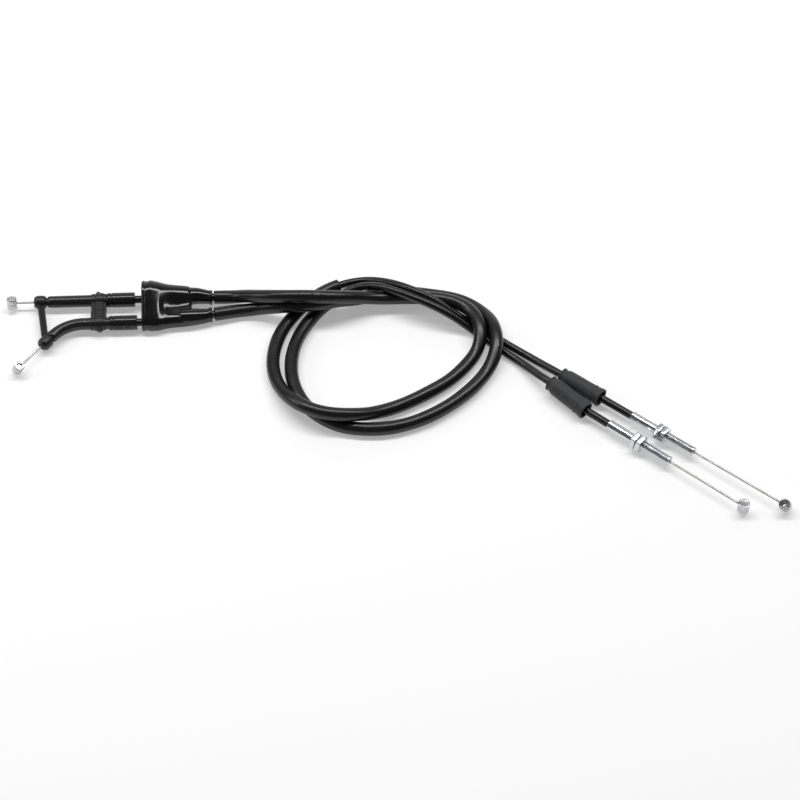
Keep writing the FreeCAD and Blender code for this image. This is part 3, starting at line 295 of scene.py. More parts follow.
def lathe(name, path, profile, seg=48, warp=None, angle=35, origin=0.0):
    """Turns a closed (x, r) outline round a path. warp(x, angle, r) may move the skin."""
    prof = np.array(rounded(profile))
    x, r = prof[:, 0] + origin, prof[:, 1]
    P, T, N, B = path.at(x)
    ang = np.linspace(0, 2 * math.pi, seg, endpoint=False)
    R = np.repeat(r[:, None], seg, 1)
    if warp is not None:
        R = warp(np.repeat((x - origin)[:, None], seg, 1), np.repeat(ang[None], len(x), 0), R)
    V = P[:, None] + R[..., None] * (np.cos(ang)[None, :, None] * N[:, None]
                                     + np.sin(ang)[None, :, None] * B[:, None])
    return to_object(name, V.reshape(-1, 3), grid_faces(len(x), seg, True), angle=angle)


def solid_lathe(name, path, profile, seg=48, warp=None, angle=35, origin=0.0):
    """The same for a piece with no bore: the outline starts and ends on the axis."""
    prof = np.array([q for q in rounded(profile) if q[1] > 1e-6])
    x, r = prof[:, 0] + origin, prof[:, 1]
    P, T, N, B = path.at(x)
    ang = np.linspace(0, 2 * math.pi, seg, endpoint=False)
    R = np.repeat(r[:, None], seg, 1)
    if warp is not None:
        R = warp(np.repeat((x - origin)[:, None], seg, 1), np.repeat(ang[None], len(x), 0), R)
    V = (P[:, None] + R[..., None] * (np.cos(ang)[None, :, None] * N[:, None]
                                      + np.sin(ang)[None, :, None] * B[:, None])).reshape(-1, 3)
    ends = path.at(np.array([profile[0][0], profile[-1][0]], float) + origin)[0]
    faces = grid_faces(len(x), seg, False)
    a = len(V)
    V = np.vstack([V, ends])
    last = (len(x) - 1) * seg
    faces += [(a, (j + 1) % seg, j) for j in range(seg)]
    faces += [(a + 1, last + j, last + (j + 1) % seg) for j in range(seg)]
    return to_object(name, V, faces, angle=angle)


def prism(outline, x0, x1, fr):
    """A closed prism: an outline in a frame's y, z swept from x0 to x1."""
    n = len(outline)
    V = [(x0, y, z) for y, z in outline] + [(x1, y, z) for y, z in outline]
    F = [tuple(reversed(range(n))), tuple(range(n, 2 * n))]
    F += [(j, (j + 1) % n, n + (j + 1) % n, n + j) for j in range(n)]
    return fr.pt(V), F


def raw_lathe(fr, profile, seg=48):
    prof = np.array(rounded(profile))
    ang = np.linspace(0, 2 * math.pi, seg, endpoint=False)
    V = np.stack([np.repeat(prof[:, :1], seg, 1), prof[:, 1:2] * np.cos(ang)[None],
                  prof[:, 1:2] * np.sin(ang)[None]], -1).reshape(-1, 3)
    return fr.pt(V), grid_faces(len(prof), seg, True)


def raw_solid(fr, profile, seg=48):
    prof = np.array([q for q in rounded(profile) if q[1] > 1e-6])
    ang = np.linspace(0, 2 * math.pi, seg, endpoint=False)
    V = np.stack([np.repeat(prof[:, :1], seg, 1), prof[:, 1:2] * np.cos(ang)[None],
                  prof[:, 1:2] * np.sin(ang)[None]], -1).reshape(-1, 3)
    F = grid_faces(len(prof), seg, False)
    a = len(V)
    V = np.vstack([V, [[profile[0][0], 0, 0], [profile[-1][0], 0, 0]]])
    last = (len(prof) - 1) * seg
    F += [(a, (j + 1) % seg, j) for j in range(seg)]
    F += [(a + 1, last + j, last + (j + 1) % seg) for j in range(seg)]
    return fr.pt(V), F


def joined(pieces):
    V, F, k = [], [], 0
    for v, f in pieces:
        V.append(np.asarray(v))
        F += [tuple(i + k for i in face) for face in f]
        k += len(v)
    return np.vstack(V), F


def evaluated(ob):
    dg = bpy.context.evaluated_depsgraph_get()
    bpy.context.view_layer.update()
    me = bpy.data.meshes.new_from_object(ob.evaluated_get(dg))
    ob.modifiers.clear()
    old = ob.data
    ob.data = me
    bpy.data.meshes.remove(old)
    return ob


def melted(name, pieces, voxel, smooth=4, factor=0.5):
    """Closed pieces melted into one closed skin, worked at one unit to the millimetre."""
    V, F = joined(pieces)
    c = V.mean(0)
    me = bpy.data.meshes.new(name)
    me.from_pydata((V - c).tolist(), [], F)
    import bmesh
    bm = bmesh.new()
    bm.from_mesh(me)
    bmesh.ops.recalc_face_normals(bm, faces=bm.faces)
    bm.to_mesh(me)
    bm.free()
    ob = bpy.data.objects.new(name, me)
    bpy.context.scene.collection.objects.link(ob)
    m = ob.modifiers.new("melt", "REMESH")
    m.mode = "VOXEL"
    m.voxel_size = voxel
    m.use_smooth_shade = True
    if smooth:
        k = ob.modifiers.new("ease", "SMOOTH")
        k.factor = factor
        k.iterations = smooth
    evaluated(ob)
    ob["cx"], ob["cy"], ob["cz"] = [float(q) for q in c]
    return ob


def settle(ob):
    """Moves a melted piece from its working scale to its place."""
    c = np.array([ob["cx"], ob["cy"], ob["cz"]])
    n = len(ob.data.vertices)
    co = np.zeros(n * 3)
    ob.data.vertices.foreach_get("co", co)
    ob.data.vertices.foreach_set("co", ((co.reshape(-1, 3) + c) * MM).ravel())
    ob.data.polygons.foreach_set("use_smooth", [True] * len(ob.data.polygons))
    ob.data.update()
    for k in ("cx", "cy", "cz"):
        del ob[k]
    return ob


def finish_piece(ob, body, material, nodes=()):
    ob.data.materials.clear()
    ob.data.materials.append(material)
    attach(ob, body)
    if nodes:
        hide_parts(*nodes)
    return ob


# ------------------------------------------------------------------ materials

def material(name, base, rough, vary=0.15, rough_vary=0.08, metal=0.0, scale=400.0, bump=0.02,
             coat=0.0, coat_rough=0.1, sheen=0.0, fine=2500.0, spec=0.5, stretch=(1, 1, 1),
             tint=None):
    """Colour, roughness and bump from two noises: a broad one for wear and a fine one for grain."""
    m = bpy.data.materials.new(name)
    m.use_nodes = True
    nt = m.node_tree
    n = nt.nodes
    b = n["Principled BSDF"]
    b.inputs["Metallic"].default_value = metal
    b.inputs["Specular IOR Level"].default_value = spec
    b.inputs["Coat Weight"].default_value = coat
    b.inputs["Coat Roughness"].default_value = coat_rough
    b.inputs["Sheen Weight"].default_value = sheen
    tex = n.new("ShaderNodeTexCoord")
    mp = n.new("ShaderNodeMapping")
    mp.inputs["Scale"].default_value = stretch
    nt.links.new(tex.outputs["Object"], mp.inputs["Vector"])
    broad = n.new("ShaderNodeTexNoise")
    broad.inputs["Scale"].default_value = scale
    broad.inputs["Detail"].default_value = 5.0
    grain = n.new("ShaderNodeTexNoise")
    grain.inputs["Scale"].default_value = fine
    grain.inputs["Detail"].default_value = 3.0
    nt.links.new(mp.outputs[0], broad.inputs["Vector"])
    nt.links.new(mp.outputs[0], grain.inputs["Vector"])
    ramp = n.new("ShaderNodeValToRGB")
    lo = [c * (1 - vary) for c in base]
    hi = [min(1.0, c * (1 + vary)) for c in (tint or base)]
    ramp.color_ramp.elements[0].position = 0.3
    ramp.color_ramp.elements[1].position = 0.7
    ramp.color_ramp.elements[0].color = (*lo, 1)
    ramp.color_ramp.elements[1].color = (*hi, 1)
    nt.links.new(broad.outputs["Fac"], ramp.inputs["Fac"])
    nt.links.new(ramp.outputs["Color"], b.inputs["Base Color"])
    mr = n.new("ShaderNodeMapRange")
    mr.inputs["From Min"].default_value = 0.3
    mr.inputs["From Max"].default_value = 0.7
    mr.inputs["To Min"].default_value = max(0.02, rough - rough_vary)
    mr.inputs["To Max"].default_value = min(1.0, rough + rough_vary)
    mix = n.new("ShaderNodeMath")
    mix.operation = "MULTIPLY_ADD"
    mix.inputs[1].default_value = 0.5
    nt.links.new(grain.outputs["Fac"], mix.inputs[0])
    half = n.new("ShaderNodeMath")
    half.operation = "MULTIPLY"
    half.inputs[1].default_value = 0.5
    nt.links.new(broad.outputs["Fac"], half.inputs[0])
    nt.links.new(half.outputs[0], mix.inputs[2])
    nt.links.new(mix.outputs[0], mr.inputs["Value"])
    nt.links.new(mr.outputs[0], b.inputs["Roughness"])
    bp = n.new("ShaderNodeBump")
    bp.inputs["Strength"].default_value = 1.0
    bp.inputs["Distance"].default_value = bump * MM
    nt.links.new(grain.outputs["Fac"], bp.inputs["Height"])
    nt.links.new(bp.outputs["Normal"], b.inputs["Normal"])
    return m


M = {
    "tube": material("tube_plastic", (0.009, 0.009, 0.010), 0.30, bump=0.03, fine=1800),
    "link": material("link_plastic", (0.006, 0.006, 0.007), 0.38, bump=0.04, fine=1500),
    "clip": material("clip_plastic", (0.004, 0.004, 0.005), 0.42, bump=0.04, fine=1500),
    "collar": material("collar_plastic", (0.006, 0.006, 0.007), 0.22, bump=0.02, fine=2000),
    "jacket": material("jacket_plastic", (0.004, 0.004, 0.005), 0.22, bump=0.01, fine=3000),
    "winding": material("winding_steel", (0.35, 0.35, 0.36), 0.35, metal=1.0, bump=0.03),
    "liner": material("liner_plastic", (0.78, 0.78, 0.75), 0.4, vary=0.05),
    "sleeve": material("sleeve_vinyl", (0.004, 0.0042, 0.005), 0.30, rough_vary=0.07, bump=0.035,
                       fine=1400, scale=160),
    "wire": material("wire_steel", (0.52, 0.51, 0.49), 0.34, metal=1.0, vary=0.2, bump=0.01,
                     fine=3500),
    "zinc": material("zinc_plate", (0.66, 0.67, 0.69), 0.20, rough_vary=0.07, metal=1.0, vary=0.07,
                     bump=0.012, fine=2500, scale=250),
    "nipple": material("nipple_zinc", (0.54, 0.54, 0.56), 0.24, rough_vary=0.08, metal=1.0,
                       vary=0.10, bump=0.05, fine=900, scale=350),
    "boot": material("boot_vinyl", (0.003, 0.003, 0.0035), 0.14, rough_vary=0.05, bump=0.02,
                     fine=900, scale=120, spec=0.55),
    "dust": material("dust_rubber", (0.030, 0.031, 0.034), 0.60, vary=0.18, rough_vary=0.08,
                     bump=0.06, fine=1300, scale=220, sheen=0.15, spec=0.4),
}

# ------------------------------------------------------------------ cable lines

def stretch_points(f, a, b, n):
    return [f(a + (b - a) * i / n) for i in range(n)]


PULL_END, RETURN_END = 63.6, 21.7
pull_path = Path(spline(
    stretch_points(lambda x: head(x, PULL_Y), -174.0, -153.0, 4)
    + [np.array(p) + SHIFT for p in PULL_POINTS]
    + stretch_points(lambda x: PULL_TAIL[0] + PULL_TAIL[1] * x, 2.0, PULL_END, 11)
    + [PULL_TAIL[0] + PULL_TAIL[1] * PULL_END], HD, PULL_TAIL[1], 0.6))
return_path = Path(spline(
    stretch_points(lambda x: head(x, RETURN_Y), -193.5, -153.0, 8)
    + [np.array(p) + SHIFT for p in RETURN_POINTS]
    + stretch_points(lambda x: RETURN_TAIL[0] + RETURN_TAIL[1] * x, 1.0, RETURN_END, 4)
    + [RETURN_TAIL[0] + RETURN_TAIL[1] * RETURN_END], HD, RETURN_TAIL[1], 0.6))

COVER = {"pull": (pull_path.near(np.array([-116.6, 77.32, 5.34]) + SHIFT),
                  pull_path.near(np.array([-38.22, 87.89, 4.19]) + SHIFT)),
         "return": (return_path.near(np.array([-115.3, 63.49, 5.3]) + SHIFT),
                    return_path.near(np.array([-42.52, 75.71, 4.19]) + SHIFT))}
CASE0 = {"pull": 0.0, "return": return_path.near(head(-172.3, RETURN_Y))}

# ------------------------------------------------------------------ casings: finely ribbed

RIB = 1.05
for side, path in (("pull", pull_path), ("return", return_path)):
    s0, s1 = CASE0[side], path.s[-1]
    c0, c1 = COVER[side]
    open_runs = np.r_[np.arange(s0, c0 + 2, RIB / 4), np.arange(c0 + 2, c1 - 2, 3.0),
                      np.arange(c1 - 2, s1, RIB / 4), s1]
    open_runs = np.unique(np.round(open_runs, 4))
    skin = [(s, 2.5 - 0.09 * (0.5 - 0.5 * math.cos(2 * math.pi * s / RIB)) ** 1.5)
            for s in open_runs]
    back = [(s, 2.0) for s in np.linspace(s1, s0, 220)]
    ob = lathe(side + "_casing", path, skin + back, seg=20, angle=60)
    finish_piece(ob, housing, M["jacket"], [side + "_casing_jacket"])

# ------------------------------------------------------------------ cover sleeves

def ring_mark(path, s_mark, angle, size=2.3, depth=0.16):
    """A round moulded mark pressed in the skin at one place."""
    def warp(x, a, r):
        d = np.sqrt((x - s_mark) ** 2 + (((a - angle + math.pi) % (2 * math.pi) - math.pi) * r) ** 2)
        outside = r > 3.6
        g = np.exp(-((d - size) / 0.35) ** 2) * depth + np.exp(-(d / 0.7) ** 2) * depth * 0.5
        return r - g * outside
    return warp


def facing(path, s, to):
    P, T, N, B = path.at(np.array([s]))
    v = to - P[0]
    return math.atan2(float(np.dot(v, B[0])), float(np.dot(v, N[0])))


EL = math.radians(52.0)
CAM = np.array([0.0, -1707.0 * math.cos(EL), 1707.0 * math.sin(EL)]) + SHIFT


def seen_at(u, v, z):
    """The point at height z that shows at u, v in the camera's frame."""
    fwd = np.array([0.0, math.cos(EL), -math.sin(EL)])
    up = np.array([0.0, math.sin(EL), math.cos(EL)])
    d = fwd * 2800.0 + np.array([1.0, 0, 0]) * (u - 400.0) + up * (400.0 - v)
    return CAM + d * ((z + SHIFT[2] - CAM[2]) / d[2])


marks = {"pull": (pull_path, seen_at(295, 298, 9.0)), "return": (return_path, seen_at(285, 322, 8.0))}
for side, (path, spot) in marks.items():
    c0, c1 = COVER[side]
    sm = path.near(spot)
    if sm > c0 + 200:
        sm = c0 + 70.0
    base = ring_mark(path, sm, facing(path, sm, CAM))

    def warp(x, a, r, base=base, side=side):
        k = 0.05 * np.sin(x * 0.21 + (0 if side == "pull" else 2)) \
            + 0.03 * np.sin(x * 0.083 + a * 2 + 1.0)
        return base(x, a, r) + k * (r > 3.6)

    run = np.unique(np.round(np.r_[np.arange(c0 + 0.8, c1 - 0.8, 1.5),
                                   np.arange(sm - 4, sm + 4, 0.25)], 3))
    outline = [(c0 + 0.25, 3.12), (c0, 3.4), (c0, 3.85), (c0 + 0.25, 4.12)] + [(s, 4.15) for s in run] \
        + [(c1 - 0.25, 4.12), (c1, 3.9), (c1, 3.4), (c1 - 0.25, 3.12)] \
        + [(s, 3.1) for s in np.linspace(c1 - 1, c0 + 1, 160)]
    ob = lathe(side + "_sleeve", path, outline, seg=44, warp=warp, angle=50)
    finish_piece(ob, housing, M["sleeve"], [side + "_cover_sleeve"])

# ------------------------------------------------------------------ guide tubes

eye_x = head(-221.3, PULL_Y)
tube_line = straight(Frame(head(-221.3, PULL_Y), HD), 60)
ob = lathe("pull_tube", tube_line, [
    (2.1, 1.5), (2.1, 2.5), (4.3, 2.5), (4.4, 3.0, 0.3), (5.5, 3.7, 0.8)]
    + [(x, 3.7) for x in np.linspace(7, 46.5, 20)] + [(47.2, 3.7, 0.2), (47.2, 1.5)], seg=48)
finish_piece(ob, housing, M["tube"], ["pull_guide_tube"])

elbow_pts = [from_elbow(*(EXIT0 + EXIT_D2 * d)) for d in np.linspace(4.75, 0.2, 8)]
elbow_pts += [from_elbow(-BEND * math.sin(a), -BEND + BEND * math.cos(a))
              for a in np.linspace(TURN, 0, 40)]
elbow_pts += [from_elbow(x, 0) for x in np.linspace(0.6, 21.6, 30)]
elbow = Path(elbow_pts)
L = elbow.s[-1]
ob = lathe("return_tube", elbow, [
    (0.0, 2.1), (0.0, 2.5), (2.2, 2.5), (2.3, 3.0, 0.3), (3.4, 3.7, 0.8)]
    + [(x, 3.7) for x in np.linspace(4.4, L - 1, 50)] + [(L, 3.7, 0.2), (L, 2.1)]
    + [(x, 2.1) for x in np.linspace(L - 1, 1, 30)], seg=48)
finish_piece(ob, housing, M["tube"], ["return_guide_tube"])

# ------------------------------------------------------------------ link: two eyes and a strap

pull_out = Frame(PULL_EYE, -HD)
return_out = Frame(RETURN_EYE, EXIT_D)
eye = [(-3.7, 2.55), (-3.7, 3.3, 0.5), (-2.2, 4.2, 1.4), (2.2, 4.2, 1.6), (3.9, 3.0, 0.8),
       (3.9, 1.9, 0.3), (2.6, 1.25, 0.3), (-1.9, 1.25), (-1.9, 2.55)]
span = RETURN_EYE - PULL_EYE
strap_frame = Frame(PULL_EYE, span)
w, t = 2.15, 1.35
cross = [(-w, -t + 0.4), (-w + 0.4, -t), (w - 0.4, -t), (w, -t + 0.4), (w, t - 0.35), (w - 0.35, t),
         (0.75, t), (0.55, t - 0.6), (-0.35, t - 0.6), (-0.55, t), (-w + 0.7, t), (-w, t - 0.7)]
SL = float(np.linalg.norm(span))
ob = melted("guide_link_skin", [
    raw_lathe(pull_out, eye), raw_lathe(return_out, eye), prism(cross, 3.6, SL - 3.6, strap_frame)],
    0.2, smooth=3)
finish_piece(settle(ob), housing, M["link"], ["guide_link"])

# ------------------------------------------------------------------ bridge clip

for side, y_axis, sign, nub_x in (("pull", PULL_Y, -1, 4.0), ("return", RETURN_Y, 1, 5.9)):
    fr = Frame(head(-189.5, y_axis), HD)
    ring = raw_lathe(fr, [(0, 3.72), (0, 4.25, 0.25), (9.4, 4.25, 0.25), (9.4, 3.72)])
    rib = raw_lathe(fr, [(2.8, 3.72), (2.8, 4.8, 0.3), (7.6, 4.8, 0.3), (7.6, 3.72)])
    edge, near_y = 9.25, 3.85
    # the web, with its corners nicked where the halves meet
    poly = [(0.0, near_y), (9.4, near_y), (9.4, edge - 1.3), (8.5, edge - 0.5), (8.5, edge),
            (0.9, edge), (0.9, edge - 0.5), (0.0, edge - 1.3)]
    low = [(x, sign * y, -2.5) for x, y in poly]
    high = [(x, sign * y, 2.5) for x, y in poly]
    n = len(poly)
    web = (fr.pt(low + high), [tuple(range(n)), tuple(range(n, 2 * n))]
           + [(j, (j + 1) % n, n + (j + 1) % n, n + j) for j in range(n)])
    rib_low = [(2.8, sign * near_y, -3.1), (7.6, sign * near_y, -3.1), (7.6, sign * edge, -3.1),
               (2.8, sign * edge, -3.1)]
    rib_high = [(x, y, 3.1) for x, y, z in rib_low]
    bar = (fr.pt(rib_low + rib_high), [(0, 1, 2, 3), (4, 5, 6, 7)]
           + [(j, (j + 1) % 4, 4 + (j + 1) % 4, 4 + j) for j in range(4)])
    nub_fr = Frame(fr.pt([(nub_x, -sign * 4.2, 0)])[0], -sign * fr.y)
    nub = raw_solid(nub_fr, [(-0.2, 0), (-0.2, 1.35), (2.3, 1.35, 0.5), (2.3, 0)], seg=24)
    ob = melted(side + "_clip", [ring, rib, web, bar, nub], 0.2, smooth=2)
    finish_piece(settle(ob), housing, M["clip"], [side + "_clip_half"])

# ------------------------------------------------------------------ collars

for side, x0, y_axis in (("pull", -180.0, PULL_Y), ("return", -178.3, RETURN_Y)):
    fr = Frame(head(x0, y_axis), HD)
    line = straight(fr, 20)
    up_angle = facing(line, 8.0, CAM)
    outline = [(0, 3.72), (0, 4.0, 0.2), (0.9, 4.6, 0.3), (2.5, 4.6, 0.15), (2.7, 4.25, 0.1),
               (3.2, 4.25, 0.1), (3.4, 4.6, 0.15)] + [(x, 4.6) for x in np.linspace(3.8, 16.8, 53)] \
        + [(17.6, 4.6, 0.45), (17.6, 2.52), (6.0, 2.52), (6.0, 3.72)]

    def bumps(x, a, r, up=up_angle):
        g = 0
        for bx in (5.4, 7.2, 11.0, 12.6):
            d2 = (x - bx) ** 2 + (((a - up - 0.85 + math.pi) % (2 * math.pi) - math.pi) * 4.6) ** 2
            g = g + 0.38 * np.exp(-(d2 / 0.55) ** 2)
        return r + g * (r > 4.55)

    ob = lathe(side + "_collar_skin", line, outline, seg=96,
               warp=bumps if side == "return" else None, angle=40)
    finish_piece(ob, housing, M["collar"], [side + "_collar"])

# ------------------------------------------------------------------ adjusters

def thread_phase(x, a, pitch):
    p = (x / pitch - a / (2 * math.pi)) % 1.0
    return np.abs(2 * p - 1)


for side, (o, d), at, roll in (("pull", PULL_TAIL, 51.7, 3.0), ("return", RETURN_TAIL, 9.8, 8.0)):
    fr = Frame(o + d * at, d, roll=roll)
    line = straight(fr, 50)
    top = facing(line, 10.0, CAM)
    body = [(0, 2.52), (0, 3.1, 0.15), (0.3, 3.35, 0.1), (1.2, 3.35, 0.1), (1.5, 3.2, 0.1)] \
        + [(x, 3.2) for x in np.linspace(1.8, 16.7, 60)] \
        + [(17.4, 3.2, 0.35), (17.4, 2.62, 0.1), (18.2, 2.62, 0.1)] \
        + [(x, 2.98) for x in np.arange(18.3, 43.6, 0.11)] \
        + [(43.9, 2.75, 0.05), (44.0, 2.95, 0.1), (44.5, 2.95, 0.2), (44.8, 2.5, 0.15),
           (44.8, 1.4, 0.1), (44.2, 1.25), (12.0, 1.25), (12.0, 2.52)]

    def threaded(x, a, r):
        on = (x > 18.25) & (x < 43.7) & (r > 2.9)
        ease = np.clip((x - 18.25) / 0.8, 0, 1) * np.clip((43.7 - x) / 0.5, 0, 1)
        cut = 0.36 * (1 - np.clip(thread_phase(x, a, 1.0) * 1.25, 0, 1)) * ease
        return r - cut * on

    ob = lathe(side + "_adjuster_skin", line, body, seg=64, warp=threaded, angle=40)
    finish_piece(ob, housing, M["zinc"], [side + "_adjuster"])

    for which, x in (("rear", 18.15), ("front", 21.85)):
        af, hgt, bore = 5.0, 3.2, 3.05
        ang = np.linspace(0, 2 * math.pi, 144, endpoint=False)
        # flats face up and down: the nearest flat's direction is a multiple of sixty degrees
        off = (ang - math.pi / 2 + math.pi / 6) % (math.pi / 3) - math.pi / 6
        hexr = af / np.cos(off)
        hexr = np.minimum(hexr, 5.66)
        face_r = 4.75
        slope = math.tan(math.radians(26))
        drop = np.maximum(hexr - face_r, 0) * slope
        rings = [(np.full(144, 0.35), np.full(144, bore)), (np.full(144, 0.0), np.full(144, bore + 0.35)),
                 (np.full(144, 0.0), np.full(144, face_r)), (drop * 0.9, hexr - 0.03),
                 (drop + 0.12, hexr), (hgt - drop - 0.12, hexr), (hgt - drop * 0.9, hexr - 0.03),
                 (np.full(144, hgt), np.full(144, face_r)), (np.full(144, hgt), np.full(144, bore + 0.35)),
                 (np.full(144, hgt - 0.35), np.full(144, bore))]
        V = np.vstack([np.stack([xx, rr * np.cos(ang), rr * np.sin(ang)], -1) for xx, rr in rings])
        fr2 = Frame(fr.o + fr.x * x, fr.x, z_hint=fr.z)
        ob = to_object("%s_%s_nut_skin" % (side, which), fr2.pt(V), grid_faces(len(rings), 144, True),
                       angle=22)
        finish_piece(ob, "%s_%s_nut_body" % (side, which), M["zinc"],
                     ["%s_%s_nut" % (side, which)])

# ------------------------------------------------------------------ wires: seven visible strands

def strand_warp(pitch=7.0, lobes=8, r0=0.75, depth=0.16):
    def warp(x, a, r):
        k = np.abs(np.sin((a * lobes - 2 * math.pi * x / pitch * lobes / 4) / 2)) ** 0.6
        return np.where(r > 0.5, r - depth * (1 - k), r)
    return warp


def wire(name, path, a, b, origin=0.0):
    run = list(np.arange(a, b, 0.3)) + [b]
    outline = [(a, 0)] + [(x, 0.75) for x in run] + [(b, 0)]
    return solid_lathe(name, path, outline, seg=48, warp=strand_warp(), angle=70, origin=origin)


pull_line = straight(pull_out, 30)
ob = wire("pull_grip_strands", pull_line, -58.5, 16.8)
finish_piece(ob, "pull_grip_end", M["wire"], ["pull_grip_wire"])

# the return wire runs on round the bend, so that it can be drawn out without leaving a gap
inner = [from_elbow(x, 0) for x in np.linspace(18, 0.5, 20)]
inner += [from_elbow(-BEND * math.sin(a), -BEND + BEND * math.cos(a)) for a in np.linspace(0, TURN, 30)]
inner += [from_elbow(*(EXIT0 + EXIT_D2 * x)) for x in np.linspace(0.5, 6.9 + 25, 40)]
ret_line = Path(inner)
end_s = ret_line.s[-1]
ob = wire("return_grip_strands", ret_line, 12.0, end_s - 1.0)
ob.data.materials.append(M["wire"])
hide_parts("return_grip_wire")
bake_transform(ob)

tips = {}
for side, (o, d), at, stub, reach in (("pull", PULL_TAIL, 51.7 + 44.8, 13.0, 64.4),
                                      ("return", RETURN_TAIL, 9.8 + 44.8, 19.0, 52.8)):
    fr = Frame(o + d * at, d)
    tips[side] = (fr, reach)
    ob = wire(side + "_tail_strands", straight(fr, 60), -stub, reach - 1.0)
    finish_piece(ob, side + "_tail_end", M["wire"], [side + "_tail_wire"])

# ------------------------------------------------------------------ nipples

def nipple(name, body, node, centre, along_wire, tilt, rad, length, style):
    """A cast barrel square to the wire. tilt leans its axis about the wire."""
    base = Frame(centre, along_wire)
    c, s = math.cos(math.radians(tilt)), math.sin(math.radians(tilt))
    axis = c * base.z - s * base.y
    fr = Frame(centre, axis, z_hint=along_wire)
    line = straight(fr, 10)
    h = length / 2
    if style == "ring":
        top = [(h, rad, 0.5), (h, rad - 0.75, 0.15), (h - 0.35, rad - 1.0, 0.15),
               (h - 0.35, 1.25, 0.2), (h - 0.9, 0.9, 0.2), (h - 1.3, 0)]
    elif style == "flat":
        top = [(h, rad, 0.45), (h, rad - 0.9, 0.1), (h - 0.12, rad - 1.1, 0.1), (h - 0.12, 0)]
    else:
        top = [(h, rad, 0.7), (h, 1.9, 0.25), (h - 0.7, 1.4, 0.2), (h - 0.7, 0)]
    outline = [(-h, 0), (-h, rad, 0.5), (-0.35, rad, 0.12), (-0.22, rad - 0.07, 0.05),
               (0.22, rad - 0.07, 0.05), (0.35, rad, 0.12)] + top

    def cast(x, a, r):
        flash = 0.05 * np.exp(-((a % math.pi - 0.4) / 0.06) ** 2)
        rough = 0.02 * np.sin(7 * a + 3 * x) + 0.015 * np.sin(13 * a - 5 * x)
        lobes = 0
        if style == "lobed":
            lobes = -0.16 * (0.5 + 0.5 * np.cos(6 * a)) * (x > h - 1.6)
        return r + (flash + rough + lobes) * (r > rad * 0.6)

    ob = solid_lathe(name, line, outline, seg=96, warp=cast, angle=38)
    return finish_piece(ob, body, M["nipple"], [node])


nipple("pull_grip_barrel", "pull_grip_end", "pull_grip_nipple", PULL_EYE - HD * 17.8, -HD,
       20.0, 3.2, 7.0, "plain")
nipple("return_grip_barrel", "return_grip_end", "return_grip_nipple", RETURN_EYE + EXIT_D * 25.0,
       EXIT_D, -25.0, 3.2, 7.0, "lobed")
fr, reach = tips["pull"]
nipple("pull_tail_barrel", "pull_tail_end", "pull_tail_nipple", fr.o + fr.x * reach, fr.x,
       30.0, 3.5, 6.5, "ring")
fr, reach = tips["return"]
nipple("return_tail_barrel", "return_tail_end", "return_tail_nipple", fr.o + fr.x * reach, fr.x,
       0.0, 3.5, 6.5, "flat")

# ------------------------------------------------------------------ twin boot

def tube_between(rows, fr, seg=72, sub=6, both_ends=True):
    """A closed loft through slot outlines (x, y, z, half pitch, radius) across the frame's x axis.
    Rows run along x; between them every value eases through a curve without overshoot."""
    R = np.array(rows, float)
    xs = []
    for a, b in zip(R[:-1, 0], R[1:, 0]):
        xs += list(np.linspace(a, b, sub, endpoint=False))
    xs.append(R[-1, 0])
    xs = np.array(xs)
    cols = [xs]
    for c in range(1, 5):
        y = R[:, c]
        h = np.diff(R[:, 0])
        d = np.diff(y) / h
        m = np.r_[d[0], np.where(d[:-1] * d[1:] > 0, 2 * d[:-1] * d[1:] / (d[:-1] + d[1:] + 1e-12), 0),
                  d[-1]]
        k = np.clip(np.searchsorted(R[:, 0], xs, side="right") - 1, 0, len(h) - 1)
        t = (xs - R[k, 0]) / h[k]
        cols.append((2 * t ** 3 - 3 * t ** 2 + 1) * y[k] + (t ** 3 - 2 * t ** 2 + t) * h[k] * m[k]
                    + (-2 * t ** 3 + 3 * t ** 2) * y[k + 1] + (t ** 3 - t ** 2) * h[k] * m[k + 1])
    X, Y, Z, HP, RR = cols
    q = seg // 4
    ang = np.r_[np.linspace(-math.pi / 2, math.pi / 2, 2 * q), np.linspace(math.pi / 2, 1.5 * math.pi, 2 * q)]
    side = np.r_[np.ones(2 * q), -np.ones(2 * q)]
    n = len(ang)
    V = np.stack([np.repeat(X[:, None], n, 1),
                  Y[:, None] + side[None] * HP[:, None] + RR[:, None] * np.cos(ang)[None],
                  Z[:, None] + RR[:, None] * np.sin(ang)[None]], -1).reshape(-1, 3)
    F = grid_faces(len(X), n, False)
    V = np.vstack([V, [[X[0], Y[0], Z[0]], [X[-1], Y[-1], Z[-1]]]])
    a, last = len(X) * n, (len(X) - 1) * n
    F += [(a, (j + 1) % n, j) for j in range(n)]
    F += [(a + 1, last + j, last + (j + 1) % n) for j in range(n)]
    return fr.pt(V), F


boot_fr = Frame(head(-157.8, 71.903), HD)
# the slumped body: a high far lobe and a low near one, (y, z, radius) each
SHELL = np.array([
    (0.0, 9.58, 3.32, 9.3, -8.88, -0.3, 5.8), (2.6, 9.58, 3.32, 9.3, -8.88, -0.3, 5.8),
    (6.0, 9.76, 3.32, 9.3, -8.88, -0.25, 5.95), (10.7, 9.72, 2.62, 8.6, -8.8, -0.45, 5.75),
    (13.8, 9.94, 1.92, 7.9, -8.10, -0.9, 5.1), (17.0, 10.05, 1.42, 7.4, -7.6, -1.1, 4.9),
    (20.7, 10.11, 1.12, 7.1, -7.18, -1.1, 4.9), (26.3, 10.58, 0.52, 6.5, -6.85, -1.1, 4.9),
    (30.8, 10.9, -0.08, 5.9, -6.39, -1.0, 4.9)])
SAG = ((0, 9.5, 13, 17, 21, 30), (0.0, 0.0, 0.6, 1.3, 2.0, 2.3))


